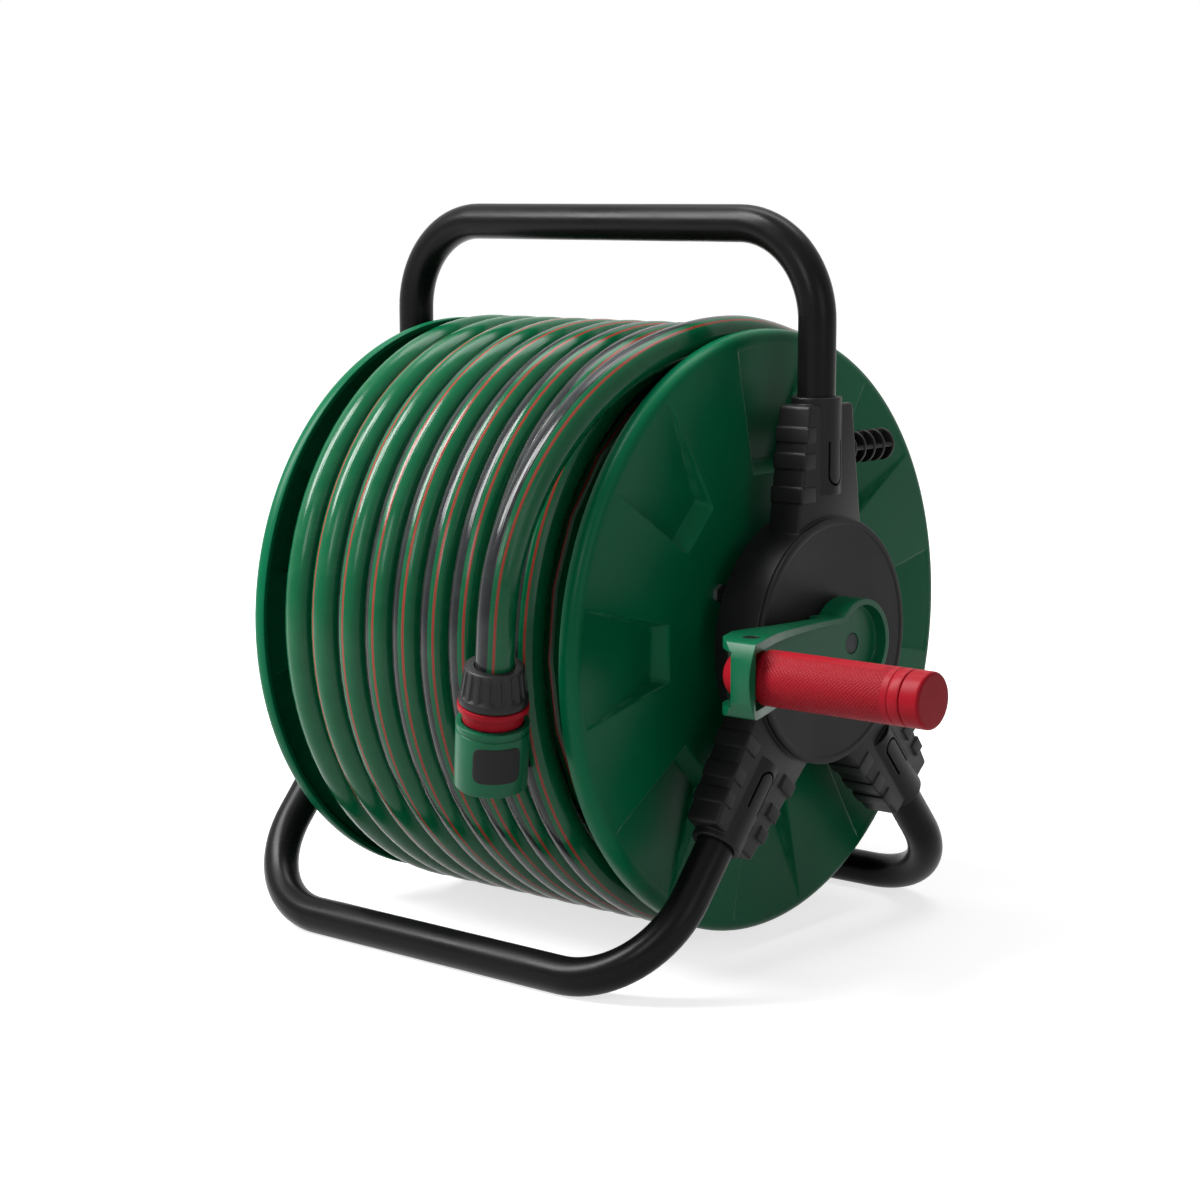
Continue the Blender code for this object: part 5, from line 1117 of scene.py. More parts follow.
# ---------------------------------------------------------------------------- brackets
@dataclass
class Bracket:
    """One side's moulded bracket, its hub disc and, on the crank side, the peg for the connector."""

    side: Side
    tip_radius: float = 118.0 * MM
    root_radius: float = 54.0 * MM
    tip_half_width: float = 18.3 * MM
    root_half_width: float = 27.0 * MM
    sleeve_radius: float = 12.6 * MM
    sleeve_root: float = 73.5 * MM
    sleeve_collar: float = 3.5 * MM
    socket_floor: float = 78.0 * MM
    drain_radius: float = 2.0 * MM
    hub_depth: float = 25.0 * MM
    hub_wall: float = 3.0 * MM
    boss_radius: float = 20.0 * MM
    boss_bore: float = 15.3 * MM
    boss_back_x: float = 114.0 * MM
    latch_top: float = 100.0 * MM
    latch_foot: float = 83.0 * MM
    latch_half_width: float = 5.2 * MM
    latch_slit: float = 1.2 * MM
    # Raised grip bands on the arm's sides: from the tip down, where each begins and ends.
    bands: tuple[tuple[float, float], ...] = ((107.5 * MM, 100.0 * MM), (94.8 * MM, 87.0 * MM),
                                              (78.3 * MM, 70.5 * MM))
    band_proud: float = 1.0 * MM
    band_inner: float = 13.6 * MM
    peg_radius: float = 94.0 * MM
    peg_length: float = 34.5 * MM
    peg_core: float = 3.6 * MM
    peg_root: float = 5.5 * MM
    peg_pinhole: float = 0.5 * MM   # inside the core, so that each ring is a closed surface
    peg_rib: float = 8.2 * MM
    peg_web: float = 1.6 * MM
    peg_rings: int = 5
    peg_ring_thickness: float = 1.6 * MM

    def half_width(self, radius: float) -> float:
        """Half the arm's width at a distance from the axis."""
        share = (self.tip_radius - radius) / (self.tip_radius - self.root_radius)
        return self.tip_half_width + share * (self.root_half_width - self.tip_half_width)

    def arm_frame(self, angle: float) -> Matrix:
        """Stands a plate's X and Y across and along one arm, with its thickness about the arm's middle."""
        return self.side.turn @ radial_frame(angle) @ Matrix.Translation((SIZES.leg_x, 0, 0)) @ PLATE_TO_SIDE

    def add_arm(self, shell: Shell, angle: float) -> None:
        """Adds one arm's plate and its grip bands, which the handle's arm has on its front side only."""
        half = (SIZES.arm_front_x - SIZES.arm_back_x) / 2 - 0.5 * MM
        outline = [(self.root_half_width, self.root_radius), (self.tip_half_width, self.tip_radius),
                   (-self.tip_half_width, self.tip_radius), (-self.root_half_width, self.root_radius)]
        frame_of_arm = self.arm_frame(angle)
        shell.plate(soften(outline, 2.0 * MM, 4), -half, half, frame_of_arm, edge=1.4 * MM)
        for top, foot in self.bands:
            for way in (-1, 1):
                toward_rear = (frame_of_arm.to_3x3() @ Vector((way, 0, 0))).y * self.side.turn[1][1]
                if angle == SIZES.handle_angle and toward_rear > 0.5:
                    continue
                rows = []
                for radius, proud in (
                        (foot, 0.1 * MM), (foot + 0.3 * MM, 0.7 * MM), (top - 0.6 * MM, self.band_proud),
                        (top - 0.2 * MM, self.band_proud - 0.1 * MM), (top, self.band_proud - 0.4 * MM)):
                    outer = self.half_width(radius) + proud
                    section = [(self.band_inner, -half), (outer, -half), (outer, half + proud),
                               (self.band_inner, half + proud)]
                    section = soften(section, 0.9 * MM, 4)
                    rows.append([frame_of_arm @ Vector((way * across, radius, depth)) for across, depth in section])
                shell.grid(rows, cap=True)

    def sleeve_with_latch(self, angle: float) -> Piece:
        """Makes one arm's round sleeve, with the slit round its latch tongue cut out.

        Args:
            angle: the arm's direction.

        Returns:
            The sleeve, to be joined with its bracket.
        """
        bore = SIZES.tube_radius + SIZES.seat_gap
        end = self.tip_radius + self.sleeve_collar
        profile = [(bore, self.socket_floor), (bore, end), (self.sleeve_radius - 0.5 * MM, end),
                   (self.sleeve_radius, end - 0.5 * MM), (self.sleeve_radius, self.sleeve_root),
                   (self.drain_radius, self.sleeve_root), (self.drain_radius, self.socket_floor)]
        place = self.side.turn @ radial_frame(angle) @ Matrix.Translation((SIZES.leg_x, 0, 0))
        shell = Shell().turn(profile, place, steps=64)
        sleeve = shell.build("sleeve")
        half, thin = self.latch_half_width, self.latch_half_width - self.latch_slit
        outline = [(half, self.latch_top)] + arc(0, self.latch_foot, half, 0, -180, 12)
        outline += [(-half, self.latch_top), (-thin, self.latch_top)]
        outline += arc(0, self.latch_foot, thin, -180, 0, 12) + [(thin, self.latch_top)]
        cutter = Shell()
        cutter.plate(outline, SIZES.tube_radius - 0.5 * MM, self.sleeve_radius + 2 * MM, self.arm_frame(angle))
        return carve(sleeve, cutter.build("latch_slit"))

    def make_bracket(self) -> Piece:
        """Makes the hub, the three arms with their bands and sleeves, and joins them into one piece."""
        front, back = SIZES.arm_front_x, SIZES.arm_front_x - self.hub_depth
        room = front - self.hub_wall
        wall = SIZES.hub_radius - self.hub_wall
        profile = [(SIZES.hub_radius, front), (SIZES.hub_radius, back), (wall, back), (wall, room),
                   (self.boss_radius, room), (self.boss_radius, self.boss_back_x), (self.boss_bore, self.boss_back_x),
                   (self.boss_bore, front)]
        shell = Shell().turn(soften(profile, 0.6 * MM), self.side.turn @ TO_AXIS, steps=128)
        for angle in SIZES.socket_angles:
            self.add_arm(shell, angle)
        pieces = [shell.build("bracket")]
        pieces += [self.sleeve_with_latch(angle) for angle in SIZES.socket_angles]
        node = self.side.prefix + "_bracket"
        return settle(merge(node + "_skin", pieces), node, Finishes.BRACKET, Body.FRAME)

    def make_cap(self, hole: float) -> Piece:
        """Makes the plain hub disc, with a low raised ring just inside its edge.

        Args:
            hole: the radius of its middle hole.

        Returns:
            The disc.
        """
        outer, front, back = SIZES.hub_radius, SIZES.cap_front_x, SIZES.cap_back_x
        profile = [(outer, back), (outer, front - 0.9 * MM), (outer - 0.9 * MM, front), (outer - 3.2 * MM, front),
                   (outer - 3.9 * MM, front - 0.5 * MM), (hole, front - 0.5 * MM), (hole, back)]
        shell = Shell().turn(soften(profile, 0.3 * MM, 4), self.side.turn @ TO_AXIS, steps=160)
        return shell.stand_for(self.side.prefix + "_hub_cap", Finishes.HUB_CAP, Body.FRAME, sharp=50.0)

    def make_peg(self) -> Piece:
        """Makes the peg: a core with two crossed webs and five rings, pointing to the rear."""
        base = self.half_width(self.peg_radius - self.peg_rib) + SIZES.seat_gap
        to_rear = Matrix.Rotation(math.radians(-90), 4, "X")
        place = Matrix.Translation((SIZES.leg_x, base, self.peg_radius)) @ to_rear
        core = [(0.0, self.peg_length), (self.peg_core, self.peg_length), (self.peg_core, -self.peg_root),
                (0.0, -self.peg_root)]
        shell = Shell().turn(soften(core, 0.4 * MM, closed=False), place, steps=32, closed=False)
        reach, half = self.peg_rib - 0.4 * MM, self.peg_web / 2
        web = soften([(reach, -half), (reach, half), (-reach, half), (-reach, -half)], 0.3 * MM)
        for turn in (0.0, 90.0):
            shell.plate(web, 0.2 * MM, self.peg_length - 0.8 * MM,
                        place @ Matrix.Rotation(math.radians(turn), 4, "Z"))
        spacing = (self.peg_length + 0.4 * MM - self.peg_ring_thickness) / (self.peg_rings - 1)
        for number in range(self.peg_rings):
            low = number * spacing
            high = low + self.peg_ring_thickness
            disc = [(self.peg_pinhole, low), (self.peg_rib, low), (self.peg_rib, high), (self.peg_pinhole, high)]
            shell.turn(soften(disc, 0.4 * MM), place, steps=48)
        return shell.stand_for("connector_peg", Finishes.BRACKET, Body.FRAME)

    def build(self) -> list[Piece]:
        """Makes this side's bracket, disc and peg."""
        crank = self.side is Side.CRANK
        hole = (SIZES.shaft_radius if crank else SIZES.spigot_radius) + SIZES.seat_gap
        pieces = [self.make_bracket(), self.make_cap(hole)]
        return pieces + ([self.make_peg()] if crank else [])


# ---------------------------------------------------------------------------- drum
@dataclass
class Flange:
    """One end of the drum: a thin green disc with a turned-back rim and eight wedge-shaped recesses."""

    side: Side
    skin: float = 2.4 * MM
    rim_width: float = 9.3 * MM
    rim_wall: float = 3.0 * MM
    rim_round: float = 5.2 * MM
    recess_count: int = 8
    recess_depth: float = 7.0 * MM
    recess_top: float = 81.5 * MM
    recess_foot: float = 88.0 * MM
    recess_outer: float = 146.5 * MM
    flat_from: float = 147.0 * MM
    top_half_width: float = 14.5 * MM
    foot_half_width: float = 13.5 * MM
    outer_half_width: float = 29.0 * MM
    corner: float = 1.1 * MM
    inside: tuple[float, ...] = (0.0, 0.2, 0.4, 0.58, 0.72, 0.82, 0.88, 0.925, 0.955, 0.98, 1.0, 1.02, 1.045, 1.08)
    outside_steps: int = 6

    def edge_half_width(self, radius: float) -> float:
        """Half the recess's width at the flange's face, at a distance from the axis."""
        share = (radius - self.recess_top) / (self.recess_outer - self.recess_top)
        return self.top_half_width + share * (self.outer_half_width - self.top_half_width)

    def depth(self, radius: float, across: float) -> float:
        """How deep a recess is at a point.

        Args:
            radius: the point's distance from the axis, along the recess.
            across: its distance from the recess's middle line.

        Returns:
            The depth below the flange's face, with rounded edges and corners.
        """
        floor = self.recess_depth * (self.recess_outer - radius) / (self.recess_outer - self.recess_foot)
        wall = self.recess_depth * (radius - self.recess_top) / (self.recess_foot - self.recess_top)
        beside = self.edge_half_width(self.recess_foot) - self.foot_half_width
        cheek = self.recess_depth * (self.edge_half_width(radius) - abs(across)) / beside

        def least(first: float, second: float, width: float) -> float:
            """The smaller of two values, rounded where they cross."""
            mixing = max(width - abs(first - second), 0.0) / width
            return min(first, second) - mixing * mixing * width / 4

        lowest = least(least(wall, cheek, 2.5 * self.corner), floor, self.corner)
        return -least(-lowest, 0.0, 0.55 * self.corner)

    def columns(self, radius: float) -> Outline:
        """The angles of one recess's share of a ring of points, in radians, and their distance across."""
        held = max(radius, self.recess_top)
        edge = math.asin(self.edge_half_width(held) / held)
        half_sector = math.pi / self.recess_count
        angles = [share * edge for share in self.inside]
        last = angles[-1]
        angles += [last + (half_sector - last) * step / self.outside_steps for step in range(1, self.outside_steps)]
        row = [-half_sector] + [-angle for angle in reversed(angles[1:])] + angles
        return [(angle, radius * math.sin(angle)) for angle in row]

    def ring(self, radius: float, x: float, sunk: bool) -> list[Vector]:
        """One ring of points about the axis.

        Args:
            radius: its distance from the axis.
            x: its place along the axis where nothing is sunk.
            sunk: whether the recesses push it towards the drum's middle.

        Returns:
            The points, in the axis frame of the crank side.
        """
        points = []
        for number in range(self.recess_count):
            middle = math.tau * number / self.recess_count
            for angle, across in self.columns(radius):
                down = self.depth(radius * math.cos(angle), across) if sunk else 0.0
                turn = middle + angle
                points.append(self.side.turn @ Vector((x - down, -radius * math.sin(turn), radius * math.cos(turn))))
        return points

    def make_flange(self) -> Piece:
        """Makes the disc as one closed surface: its face, its rim, its back and its bore."""
        face, back = SIZES.flange_face, SIZES.flange_face - self.skin
        bore = SIZES.shaft_radius + SIZES.seat_gap
        radii = [bore, 20 * MM, 35 * MM, 50 * MM, 65 * MM, 75 * MM, 79 * MM]
        radii += [80.6 * MM + step * 0.55 * MM for step in range(18)]
        radii += [91 * MM + step * 3.2 * MM for step in range(17)]
        radii += [144 * MM, 145.2 * MM, 146.2 * MM, 147.2 * MM]
        rows = [self.ring(radius, face, bore < radius < self.flat_from) for radius in radii]
        rounded = arc(SIZES.flange_radius - self.rim_round, face - self.rim_round, self.rim_round, 90, 0, 10)
        rows += [self.ring(radius, x, False) for radius, x in rounded]
        rim_back, outer = face - self.rim_width, SIZES.flange_radius
        rim_inner = outer - self.rim_wall
        for radius, x in ((outer, rim_back + 0.5 * MM), (outer - 0.4 * MM, rim_back),
                          (rim_inner + 0.4 * MM, rim_back), (rim_inner, rim_back + 0.4 * MM),
                          (rim_inner, face - self.rim_round), (rim_inner - 1.2 * MM, back - 0.4 * MM)):
            rows.append(self.ring(radius, x, False))
        rows += [self.ring(radius, back, bore < radius < self.flat_from) for radius in reversed(radii)]
        shell = Shell().grid(rows, loop=True)
        return shell.stand_for(self.side.prefix + "_flange", Finishes.FLANGE, Body.DRUM, sharp=50.0)

    def build(self) -> list[Piece]:
        """Makes this side's flange."""
        return [self.make_flange()]


# ---------------------------------------------------------------------------- crank
@dataclass
class Crank:
    """The crank arm, a tray that the grip folds into, and the pin that the grip folds on."""

    back_x: float = 152.0 * MM
    boss_depth: float = 6.0 * MM
    floor: float = 2.5 * MM
    cup_depth: float = 6.5 * MM
    tray_depth: float = 28.0 * MM
    cup_radius: float = 22.9 * MM
    cup_wall: float = 2.9 * MM
    reach: float = 103.0 * MM
    tip_bulge: float = 19.0 * MM
    neck_half: float = 15.6 * MM
    middle_half: float = 16.5 * MM
    tip_half: float = 17.8 * MM
    tray_half: float = 13.4 * MM
    pin_depth: float = 14.5 * MM
    pin_radius: float = 2.5 * MM
    pin_head: float = 4.0 * MM
    pin_head_height: float = 1.2 * MM
    pin_tail: float = 2.0 * MM
    grip_radius: float = 13.15 * MM
    shaft_socket: float = 9.45 * MM  # the corners of the hexagon
    screw_head: float = 5.3 * MM
    screw_hole: float = 2.8 * MM
    screw_sunk: float = 1.25 * MM
    # The front edge seen from above: share of the reach, and share of the way from cup to tip.
    rise: tuple[tuple[float, float], ...] = ((0.20, 0.0), (0.34, 0.03), (0.50, 0.12), (0.66, 0.26), (0.81, 0.45),
                                             (0.95, 0.68), (1.07, 0.89), (1.15, 1.0))
    # The end seen from above, in mm: back from the tip's front edge, and in from the arm's end.
    end: tuple[tuple[float, float], ...] = ((0.5, -0.9), (7.0, -0.45), (14.5, 3.0), (20.5, 7.0), (25.0, 12.5))

    @property
    def floor_x(self) -> float:
        """Where the drive shaft's end meets the crank."""
        return self.back_x + self.boss_depth

    @property
    def tray_x(self) -> float:
        """The tray's floor."""
        return self.floor_x + self.floor

    @property
    def cup_x(self) -> float:
        """The cup's front edge."""
        return self.tray_x + self.cup_depth

    @property
    def tip_x(self) -> float:
        """The front edge of the arm's deep end."""
        return self.tray_x + self.tray_depth

    @property
    def pin_x(self) -> float:
        """The fold pin's place along the axis."""
        return self.tray_x + self.pin_depth

    @property
    def pin_place(self) -> Matrix:
        """The middle of the fold pin, whose own Z stays upright."""
        return Matrix.Translation((self.pin_x, -self.reach, 0.0))

    def outline(self) -> Outline:
        """The arm seen from the crank side: a round cup, a widening arm and a rounded end."""
        neck_y = -math.sqrt(self.cup_radius ** 2 - self.neck_half ** 2)
        neck_turn = math.degrees(math.atan2(self.neck_half, neck_y))
        cup = arc(0, 0, self.cup_radius, neck_turn, -neck_turn, 72)
        end_y = -(self.reach + self.tip_bulge)
        rise = 0.25 * self.tip_bulge
        bulge = (self.tip_half ** 2 + rise ** 2) / (2 * rise)
        half_turn = math.degrees(math.asin(self.tip_half / bulge))
        side = [Vector((neck_y, self.neck_half)), Vector((-0.55 * self.reach, self.middle_half)),
                Vector((-0.88 * self.reach, self.tip_half)), Vector((end_y + rise, self.tip_half))]
        curved = [(point.x, point.y) for point in smooth_line(side, 8)][1:-1]
        tip = soften([(0.0, -self.tip_half)] + arc(end_y + bulge, 0, bulge, 180 + half_turn, 180 - half_turn, 16)
                     + [(0.0, self.tip_half)], 1.5 * MM, closed=False)[1:-1]
        return cup + [(y, -z) for y, z in curved] + tip + curved[::-1]

    def side_view(self) -> Outline:
        """The arm seen from above, in X and Y: shallow at the cup and deep at the tip."""
        tip, far = -(self.reach + self.tip_bulge), self.cup_radius + 2 * MM
        deep = self.tip_x - self.cup_x
        front = [Vector((self.cup_x + rise * deep, -share * self.reach)) for share, rise in self.rise]
        front = [(self.cup_x, far)] + [(point.x, point.y) for point in smooth_line(front, 6)]
        end = [Vector((self.tip_x - back * MM, tip + inwards * MM)) for back, inwards in self.end]
        end += [Vector((self.tray_x + SIZES.seat_gap, -self.reach)), Vector((self.floor_x, -0.93 * self.reach))]
        end = [(point.x, point.y) for point in smooth_line(end, 5)]
        return front + end + [(self.floor_x, -far), (self.back_x, -far), (self.back_x, far)]

    def box(self, name: str, low: tuple[float, float, float], high: tuple[float, float, float],
            round_by: float = 0.0) -> Piece:
        """A cutting block between two corners, its edges along X rounded."""
        outline = [(high[1], low[2]), (high[1], high[2]), (low[1], high[2]), (low[1], low[2])]
        shell = Shell().plate(soften(outline, round_by, 5) if round_by else outline, low[0], high[0], PLATE_TO_SIDE)
        return shell.build(name)

    def cutters(self) -> list[Piece]:
        """What is cut out of the arm: the tray, the cup, the end window, and the shaft's, screw's and pin's holes."""
        wall_y = -(self.reach + self.grip_radius + 0.9 * MM)
        window = self.tray_half - SIZES.seat_gap
        cup, floor = self.cup_radius - self.cup_wall, self.tray_x
        cup_profile = [(cup, floor + 1.5 * MM), (cup, self.tip_x), (0.0, self.tip_x), (0.0, floor),
                       (cup - 1.5 * MM, floor), (cup - 0.5 * MM, floor + 0.4 * MM)]
        below = self.back_x - 2 * MM
        shaft = [(0.0, below), (self.shaft_socket, below), (self.shaft_socket, self.floor_x), (0.0, self.floor_x)]
        sunk, past = floor - self.screw_sunk, self.floor_x - 2 * MM
        screw = [(0.0, floor + 2 * MM), (self.screw_head, floor + 2 * MM), (self.screw_head, sunk),
                 (self.screw_hole, sunk), (self.screw_hole, past), (0.0, past)]
        hole, head = self.pin_radius + SIZES.seat_gap, self.pin_head + SIZES.seat_gap
        seat = self.tip_half - self.pin_head_height - SIZES.seat_gap
        pin = [(0.0, 30 * MM), (head, 30 * MM), (head, seat), (hole, seat), (hole, -30 * MM), (0.0, -30 * MM)]
        return [self.box("tray", (floor, wall_y, -self.tray_half), (self.tip_x + 10 * MM, 0.0, self.tray_half),
                         1.2 * MM),
                Shell().turn(cup_profile).build("cup"),
                self.box("window", (floor - 4 * MM, wall_y - 20 * MM, -window),
                         (self.pin_x + 1 * MM, wall_y + 3 * MM, window), 2.0 * MM),
                Shell().turn(shaft, steps=6).build("shaft_socket"),
                Shell().turn(screw, steps=40).build("screw_hole"),
                Shell().turn(pin, self.pin_place, steps=40).build("pin_hole")]

    def make_arm(self) -> Piece:
        """Makes the arm from its two outlines, then cuts it out."""
        deep = 3 * self.cup_radius
        arm = Shell().plate(self.outline()[::-1], self.back_x - 2 * MM, self.tip_x + 2 * MM, PLATE_TO_SIDE)
        seen = Shell().plate(self.side_view(), -deep, deep, Matrix.Identity(4))
        arm = carve(arm.build("crank_arm_skin"), seen.build("side_view"), "INTERSECT")
        for cutter in self.cutters():
            arm = carve(arm, cutter)
        return settle(arm, "crank_arm", Finishes.CRANK, Body.DRUM)

    def make_fold_pin(self) -> Piece:
        """Makes the pin with its round-edged head."""
        top, seat = self.tip_half, self.tip_half - self.pin_head_height
        foot = -self.tip_half - self.pin_tail
        profile = [(0.0, top), (self.pin_head, top), (self.pin_head, seat), (self.pin_radius, seat),
                   (self.pin_radius, foot), (0.0, foot)]
        shell = Shell().turn(soften(profile, 0.35 * MM, closed=False), self.pin_place, steps=40, closed=False)
        return shell.stand_for("fold_pin", Finishes.DARK_STEEL, Body.DRUM)

    def build(self) -> list[Piece]:
        """Makes the arm and its pin."""
        return [self.make_arm(), self.make_fold_pin()]


# ---------------------------------------------------------------------------- grip
@dataclass
class Grip:
    """The red grip: a knuckle with its rod, the knurled sleeve that turns on it, and the end cap."""

    crank: Crank
    radius: float = 13.15 * MM
    length: float = 100.0 * MM
    root: float = 9.3 * MM
    cap_length: float = 10.0 * MM
    pin_hole: float = 2.8 * MM
    rod_radius: float = 6.0 * MM
    rod_back: float = 6.0 * MM
    edge: float = 1.2 * MM
    cap_round: float = 1.6 * MM
    groove_from: float = 83.4 * MM
    groove_width: float = 1.0 * MM
    groove_depth: float = 0.35 * MM
    steps: int = 120

    @property
    def place(self) -> Matrix:
        """From the grip's own frame, with Z along it from the fold pin, to the axis frame."""
        return self.crank.pin_place @ TO_AXIS

    def make_spindle(self) -> Piece:
        """Makes the round knuckle on the fold pin, with the rod that carries the sleeve."""
        face = self.root - SIZES.seat_gap
        ball = self.radius - SIZES.seat_gap / 6
        rod_end = self.length - self.rod_back
        cut = math.degrees(math.acos(face / ball))
        profile = arc(0, 0, ball, -90, 90 - cut, 28)
        profile = [(max(distance, 0.0), height) for distance, height in profile]
        profile += [(self.rod_radius, face), (self.rod_radius, rod_end), (0.0, rod_end)]
        shell = Shell().turn(profile, self.place, steps=64, closed=False)
        knuckle = shell.build("grip_spindle_skin")
        hole = Shell().turn([(0.0, 20 * MM), (self.pin_hole, 20 * MM), (self.pin_hole, -20 * MM), (0.0, -20 * MM)],
                            self.crank.pin_place, steps=32, closed=False)
        return settle(carve(knuckle, hole.build("spindle_hole")), "grip_spindle", Finishes.RED, Body.GRIP)

    def make_sleeve(self) -> Piece:
        """Makes the sleeve, with a plain band and a groove towards its tip."""
        bore = self.rod_radius + SIZES.seat_gap
        end = self.length - self.cap_length - SIZES.seat_gap
        groove_to = self.groove_from + self.groove_width
        profile = [(bore, end), (bore, self.root), (self.radius - self.edge, self.root),
                   (self.radius, self.root + self.edge), (self.radius, self.groove_from),
                   (self.radius - self.groove_depth, self.groove_from + 0.2 * MM),
                   (self.radius - self.groove_depth, groove_to - 0.2 * MM), (self.radius, groove_to),
                   (self.radius, end - 0.5 * MM), (self.radius - 0.5 * MM, end)]
        profile = soften(profile, 0.35 * MM, 2)
        heights = [height for _, height in profile] + [profile[0][1]]
        shell = Shell().turn(profile, self.place, steps=self.steps,
                             mapping=lambda row, column: (column / self.steps - 0.5, heights[row]))
        return shell.stand_for("grip_sleeve", Finishes.GRIP, Body.SLEEVE)

    def make_cap(self) -> Piece:
        """Makes the end cap, with a round edge and a flat face."""
        back, rod_end = self.length - self.cap_length, self.length - self.rod_back + SIZES.seat_gap
        bore = self.rod_radius + SIZES.seat_gap
        profile = [(0.0, self.length), (self.radius - 2 * self.cap_round, self.length)]
        profile += arc(self.radius - self.cap_round, self.length - self.cap_round, self.cap_round, 90, 0, 8)
        profile += [(self.radius, back + 0.4 * MM), (self.radius - 0.4 * MM, back), (bore, back), (bore, rod_end),
                    (0.0, rod_end)]
        shell = Shell().turn(profile, self.place, steps=96, closed=False)
        return shell.stand_for("grip_end_cap", Finishes.RED, Body.GRIP)

    def build(self) -> list[Piece]:
        """Makes the grip's three pieces."""
        return [self.make_spindle(), self.make_sleeve(), self.make_cap()]


# ---------------------------------------------------------------------------- inlet
@dataclass
class Inlet:
    """The fixed water inlet at the hub's far side: a grooved spigot for a hose fitting."""

    tip_x: float = 172.0 * MM
    inner_x: float = 95.0 * MM
    nipple: float = 8.36 * MM
    waist: float = 7.04 * MM
    collar: float = 14.08 * MM
    waterway: float = 4.5 * MM
    clip_from: float = 145.35 * MM
    shares: tuple[float, ...] = (0.42, 0.48, 0.66, 0.72)
    ring_places: tuple[float, ...] = (6.0 * MM, 13.0 * MM)
    ring_groove: float = 7.2 * MM
    ring_half: float = 1.05 * MM

    def build(self) -> list[Piece]:
        """Makes the spigot with its grooves, collar and bore."""
        gap, thickness = SIZES.seat_gap, SIZES.cap_front_x - SIZES.cap_back_x
        collar_back = SIZES.cap_front_x + gap
        collar_front = collar_back + thickness
        length = self.tip_x - collar_front
        grooved = [self.tip_x - share * length for share in self.shares]
        clip_front = SIZES.arm_front_x
        profile = [(self.nipple, self.tip_x), (self.nipple, grooved[0]), (self.waist, grooved[1]),
                   (self.waist, grooved[2]), (self.nipple, grooved[3]), (self.nipple, collar_front),
                   (self.collar, collar_front), (self.collar, collar_back), (SIZES.spigot_radius, collar_back),
                   (SIZES.spigot_radius, clip_front), (self.waist, clip_front),
                   (self.waist, clip_front - 2.0 * MM), (SIZES.spigot_radius, clip_front - 2.0 * MM)]
        for place in reversed(self.ring_places):
            front, back = (self.inner_x + place + way * self.ring_half for way in (1, -1))
            profile += [(SIZES.spigot_radius, front), (self.ring_groove, front), (self.ring_groove, back),
                        (SIZES.spigot_radius, back)]
        profile += [(SIZES.spigot_radius, self.inner_x), (self.waterway, self.inner_x), (self.waterway, self.tip_x)]
        shell = Shell().turn(soften(profile, 0.4 * MM), Side.INLET.turn @ TO_AXIS, steps=72)
        return [shell.stand_for("inlet_spigot", Finishes.NUT, Body.FRAME)]


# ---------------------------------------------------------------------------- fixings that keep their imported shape
@dataclass(frozen=True)
class Fixings:
    """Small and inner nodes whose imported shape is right: each gets its own finish."""

    steel_threes: tuple[str, ...] = ("tie_rod", "tie_rod_nut", "spindle_screw", "elbow_screw")
    steel: tuple[str, ...] = ("drive_spindle", "connector_spring", "inlet_circlip", "hose_clip")
    dark_steel: tuple[str, ...] = ("fold_pin_ring", "crank_screw")
    acetal: tuple[str, ...] = ("crank_side_bush", "inlet_side_bush", "swivel_elbow")
    rubber: tuple[str, ...] = ("connector_washer", "inlet_o_ring_1", "inlet_o_ring_2")
    green: tuple[str, ...] = ("drum_barrel",)

    def dress(self) -> int:
        """Repaints the nodes and returns how many there are."""
        threes = tuple("%s_%d" % (name, number) for name in self.steel_threes for number in (1, 2, 3))
        groups = ((Finishes.STEEL, threes + self.steel), (Finishes.DARK_STEEL, self.dark_steel),
                  (Finishes.ACETAL, self.acetal), (Finishes.RUBBER, self.rubber), (Finishes.FLANGE, self.green))
        for finish, nodes in groups:
            Finishes.repaint(finish, *nodes)
        return sum(len(nodes) for _, nodes in groups)


# ---------------------------------------------------------------------------- studio
@dataclass(frozen=True)
class Lamp:
    """One soft box: its place, its size and its power."""

    name: str
    place: tuple[float, float, float]
    width: float
    height: float
    watts: float


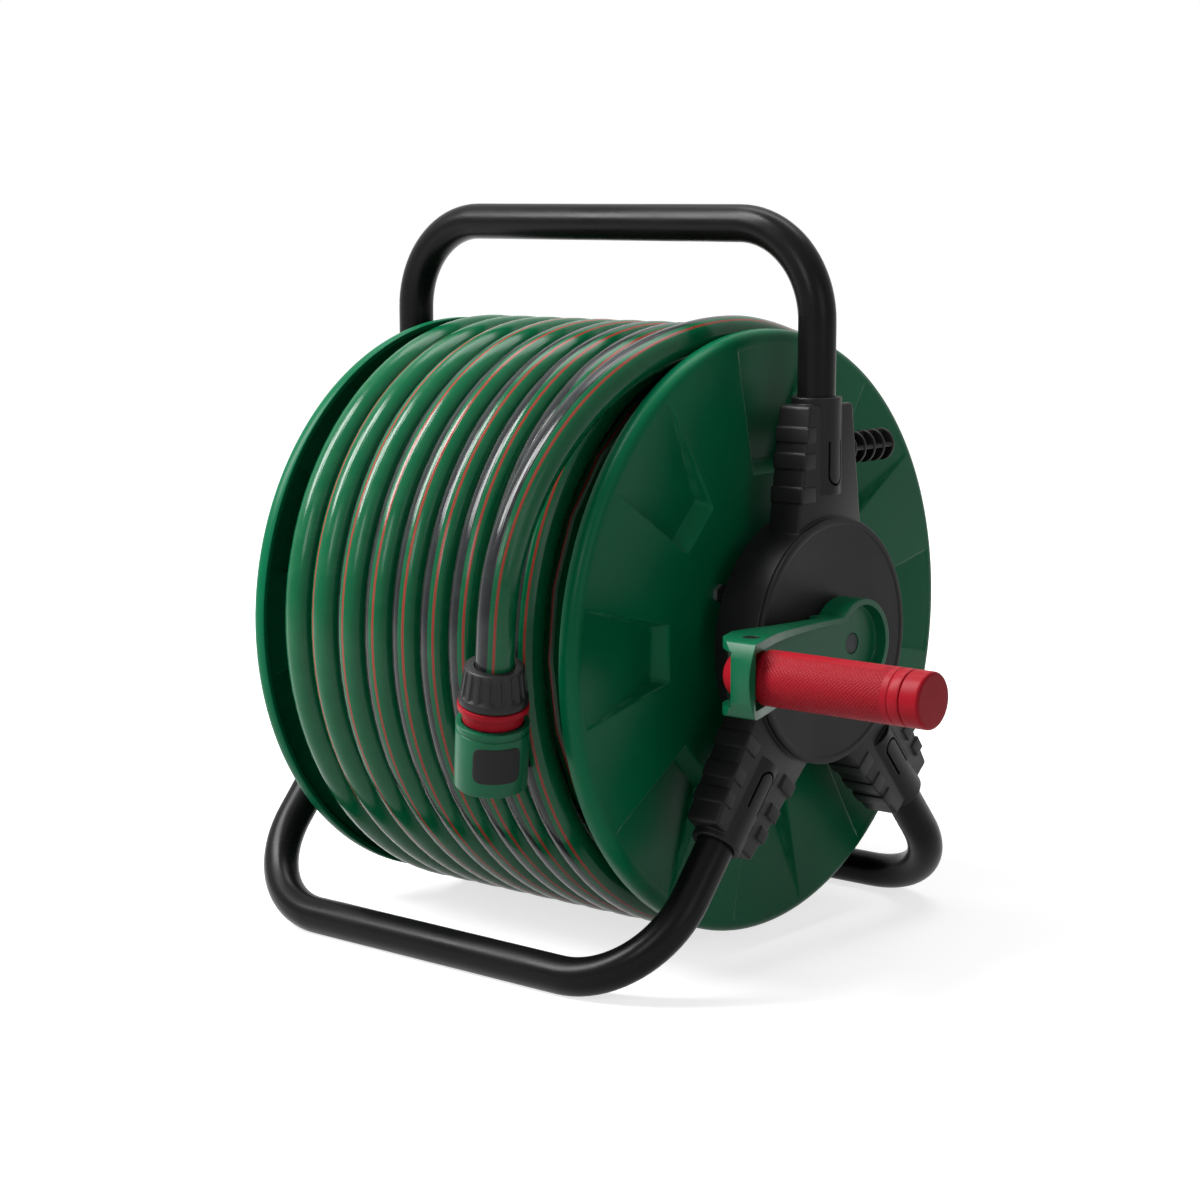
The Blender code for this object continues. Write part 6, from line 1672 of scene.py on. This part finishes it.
@dataclass
class Studio:
    """A plain white floor and background, a tall strip light high on the left, and three weak soft boxes.

    The floor lights little near the reel, where its shadow lies, and turns white away from it.
    """

    floor_size: float = 12.0
    floor_grey: tuple[float, float, float, float] = (0.45, 0.45, 0.45, 1.0)
    grain_scale: float = 900.0
    ambient: float = 0.20
    near_glow: float = 0.72
    fade_from: float = 0.25
    fade_to: float = 0.80
    lamps: tuple[Lamp, ...] = (
        Lamp("key_strip", (-1.00, -1.00, 1.75), 0.6, 1.6, 115.0),
        Lamp("top_box", (-0.25, 0.55, 1.75), 1.4, 0.5, 14.0),
        Lamp("front_box", (0.30, -1.90, 1.10), 0.6, 0.6, 9.0),
        Lamp("fill_box", (1.75, -0.55, 0.75), 0.9, 0.9, 5.0),
    )

    @staticmethod
    def seen(tree: bpy.types.NodeTree) -> Socket:
        """1 for the rays that show the white surroundings: the camera's, reflected and passed through."""
        rays = add_node(tree, "LightPath").outputs
        seen = rays["Is Camera Ray"]
        for other in ("Is Glossy Ray", "Is Transmission Ray"):
            seen = add_node(tree, "Math", {0: seen, 1: rays[other]}, operation="MAXIMUM").outputs[0]
        return seen

    def make_floor(self) -> Piece:
        """Makes the matt floor, which keeps the shadow and looks white to the camera."""
        mesh = bpy.data.meshes.new("studio_floor")
        half = self.floor_size / 2
        low = CAD_BOX[0][2]
        mesh.from_pydata([(-half, -half, low), (half, -half, low), (half, half, low), (-half, half, low)], [],
                         [(0, 1, 2, 3)])
        floor = bpy.data.objects.new("studio_floor", mesh)
        bpy.context.scene.collection.objects.link(floor)
        shader = ShaderTree("matt_white_paper")
        tree = shader.tree
        grain = shader.bump(shader.noise(self.grain_scale, 2.0), 0.1 * MM, 0.1)
        paper = add_node(tree, "BsdfDiffuse", {"Normal": grain}, {"Color": self.floor_grey})
        far = add_node(tree, "VectorMath", {0: shader.places["Object"]}, operation="LENGTH")
        level = add_node(tree, "MapRange", {"Value": far.outputs["Value"]},
                         {"From Min": self.fade_from, "From Max": self.fade_to, "To Min": self.near_glow,
                          "To Max": 1.0}, interpolation_type="SMOOTHSTEP")
        shown = shader.maths("MULTIPLY", self.seen(tree), level.outputs["Result"])
        glow = add_node(tree, "Emission", {"Strength": shown}, {"Color": WHITE})
        both = add_node(tree, "AddShader", {0: paper.outputs[0], 1: glow.outputs[0]})
        add_node(tree, "OutputMaterial", {"Surface": both.outputs[0]})
        mesh.materials.append(shader.material)
        return floor

    def make_world(self) -> None:
        """Makes a world that lights softly and looks white to the camera and in reflections."""
        world = bpy.data.worlds.new("white_studio")
        world.use_nodes = True
        world.node_tree.nodes.clear()
        tree = world.node_tree
        seen = self.seen(tree)
        strength = add_node(tree, "MapRange", {"Value": seen}, {"To Min": self.ambient, "To Max": 1.0})
        light = add_node(tree, "Background", {"Strength": strength.outputs["Result"]}, {"Color": WHITE})
        add_node(tree, "OutputWorld", {"Surface": light.outputs[0]})
        bpy.context.scene.world = world

    def make_lamps(self) -> None:
        """Makes the soft boxes, each turned to the reel's middle."""
        middle = (Vector(CAD_BOX[0]) + Vector(CAD_BOX[1])) / 2
        for lamp in self.lamps:
            data = bpy.data.lights.new(lamp.name, "AREA")
            data.shape = "RECTANGLE"
            data.size, data.size_y, data.energy = lamp.width, lamp.height, lamp.watts
            box = bpy.data.objects.new(lamp.name, data)
            bpy.context.scene.collection.objects.link(box)
            box.location = lamp.place
            box.rotation_euler = (middle - Vector(lamp.place)).to_track_quat("-Z", "Y").to_euler()

    def build(self) -> None:
        """Makes the floor, the world and the lamps."""
        self.make_floor()
        self.make_world()
        self.make_lamps()
        bpy.context.scene.view_settings.view_transform = "Standard"


# ---------------------------------------------------------------------------- assembly
def report(label: str, pieces: Sequence[Piece]) -> None:
    """Logs each piece of a sub-assembly with its number of faces."""
    for piece in pieces:
        LOG.info("%s: %s, %d faces", label, piece.name, len(piece.data.polygons))


def main() -> None:
    """Builds the camera, the cord, then each sub-assembly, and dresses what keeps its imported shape."""
    logging.basicConfig(level=logging.INFO, format="%(message)s")
    Camera().make()
    hose = Hose()
    connector = Connector().build()
    report("hose", [hose.make_free_end()])
    report("connector", connector)
    report("hose", hose.build())
    report("tube frame", TubeFrame().build())
    for side in Side:
        report("bracket", Bracket(side).build())
        report("drum", Flange(side).build())
    crank = Crank()
    report("crank", crank.build())
    report("grip", Grip(crank).build())
    report("inlet", Inlet().build())
    LOG.info("fixings: %d nodes dressed", Fixings().dress())
    Studio().build()


if __name__ == "__main__":
    main()
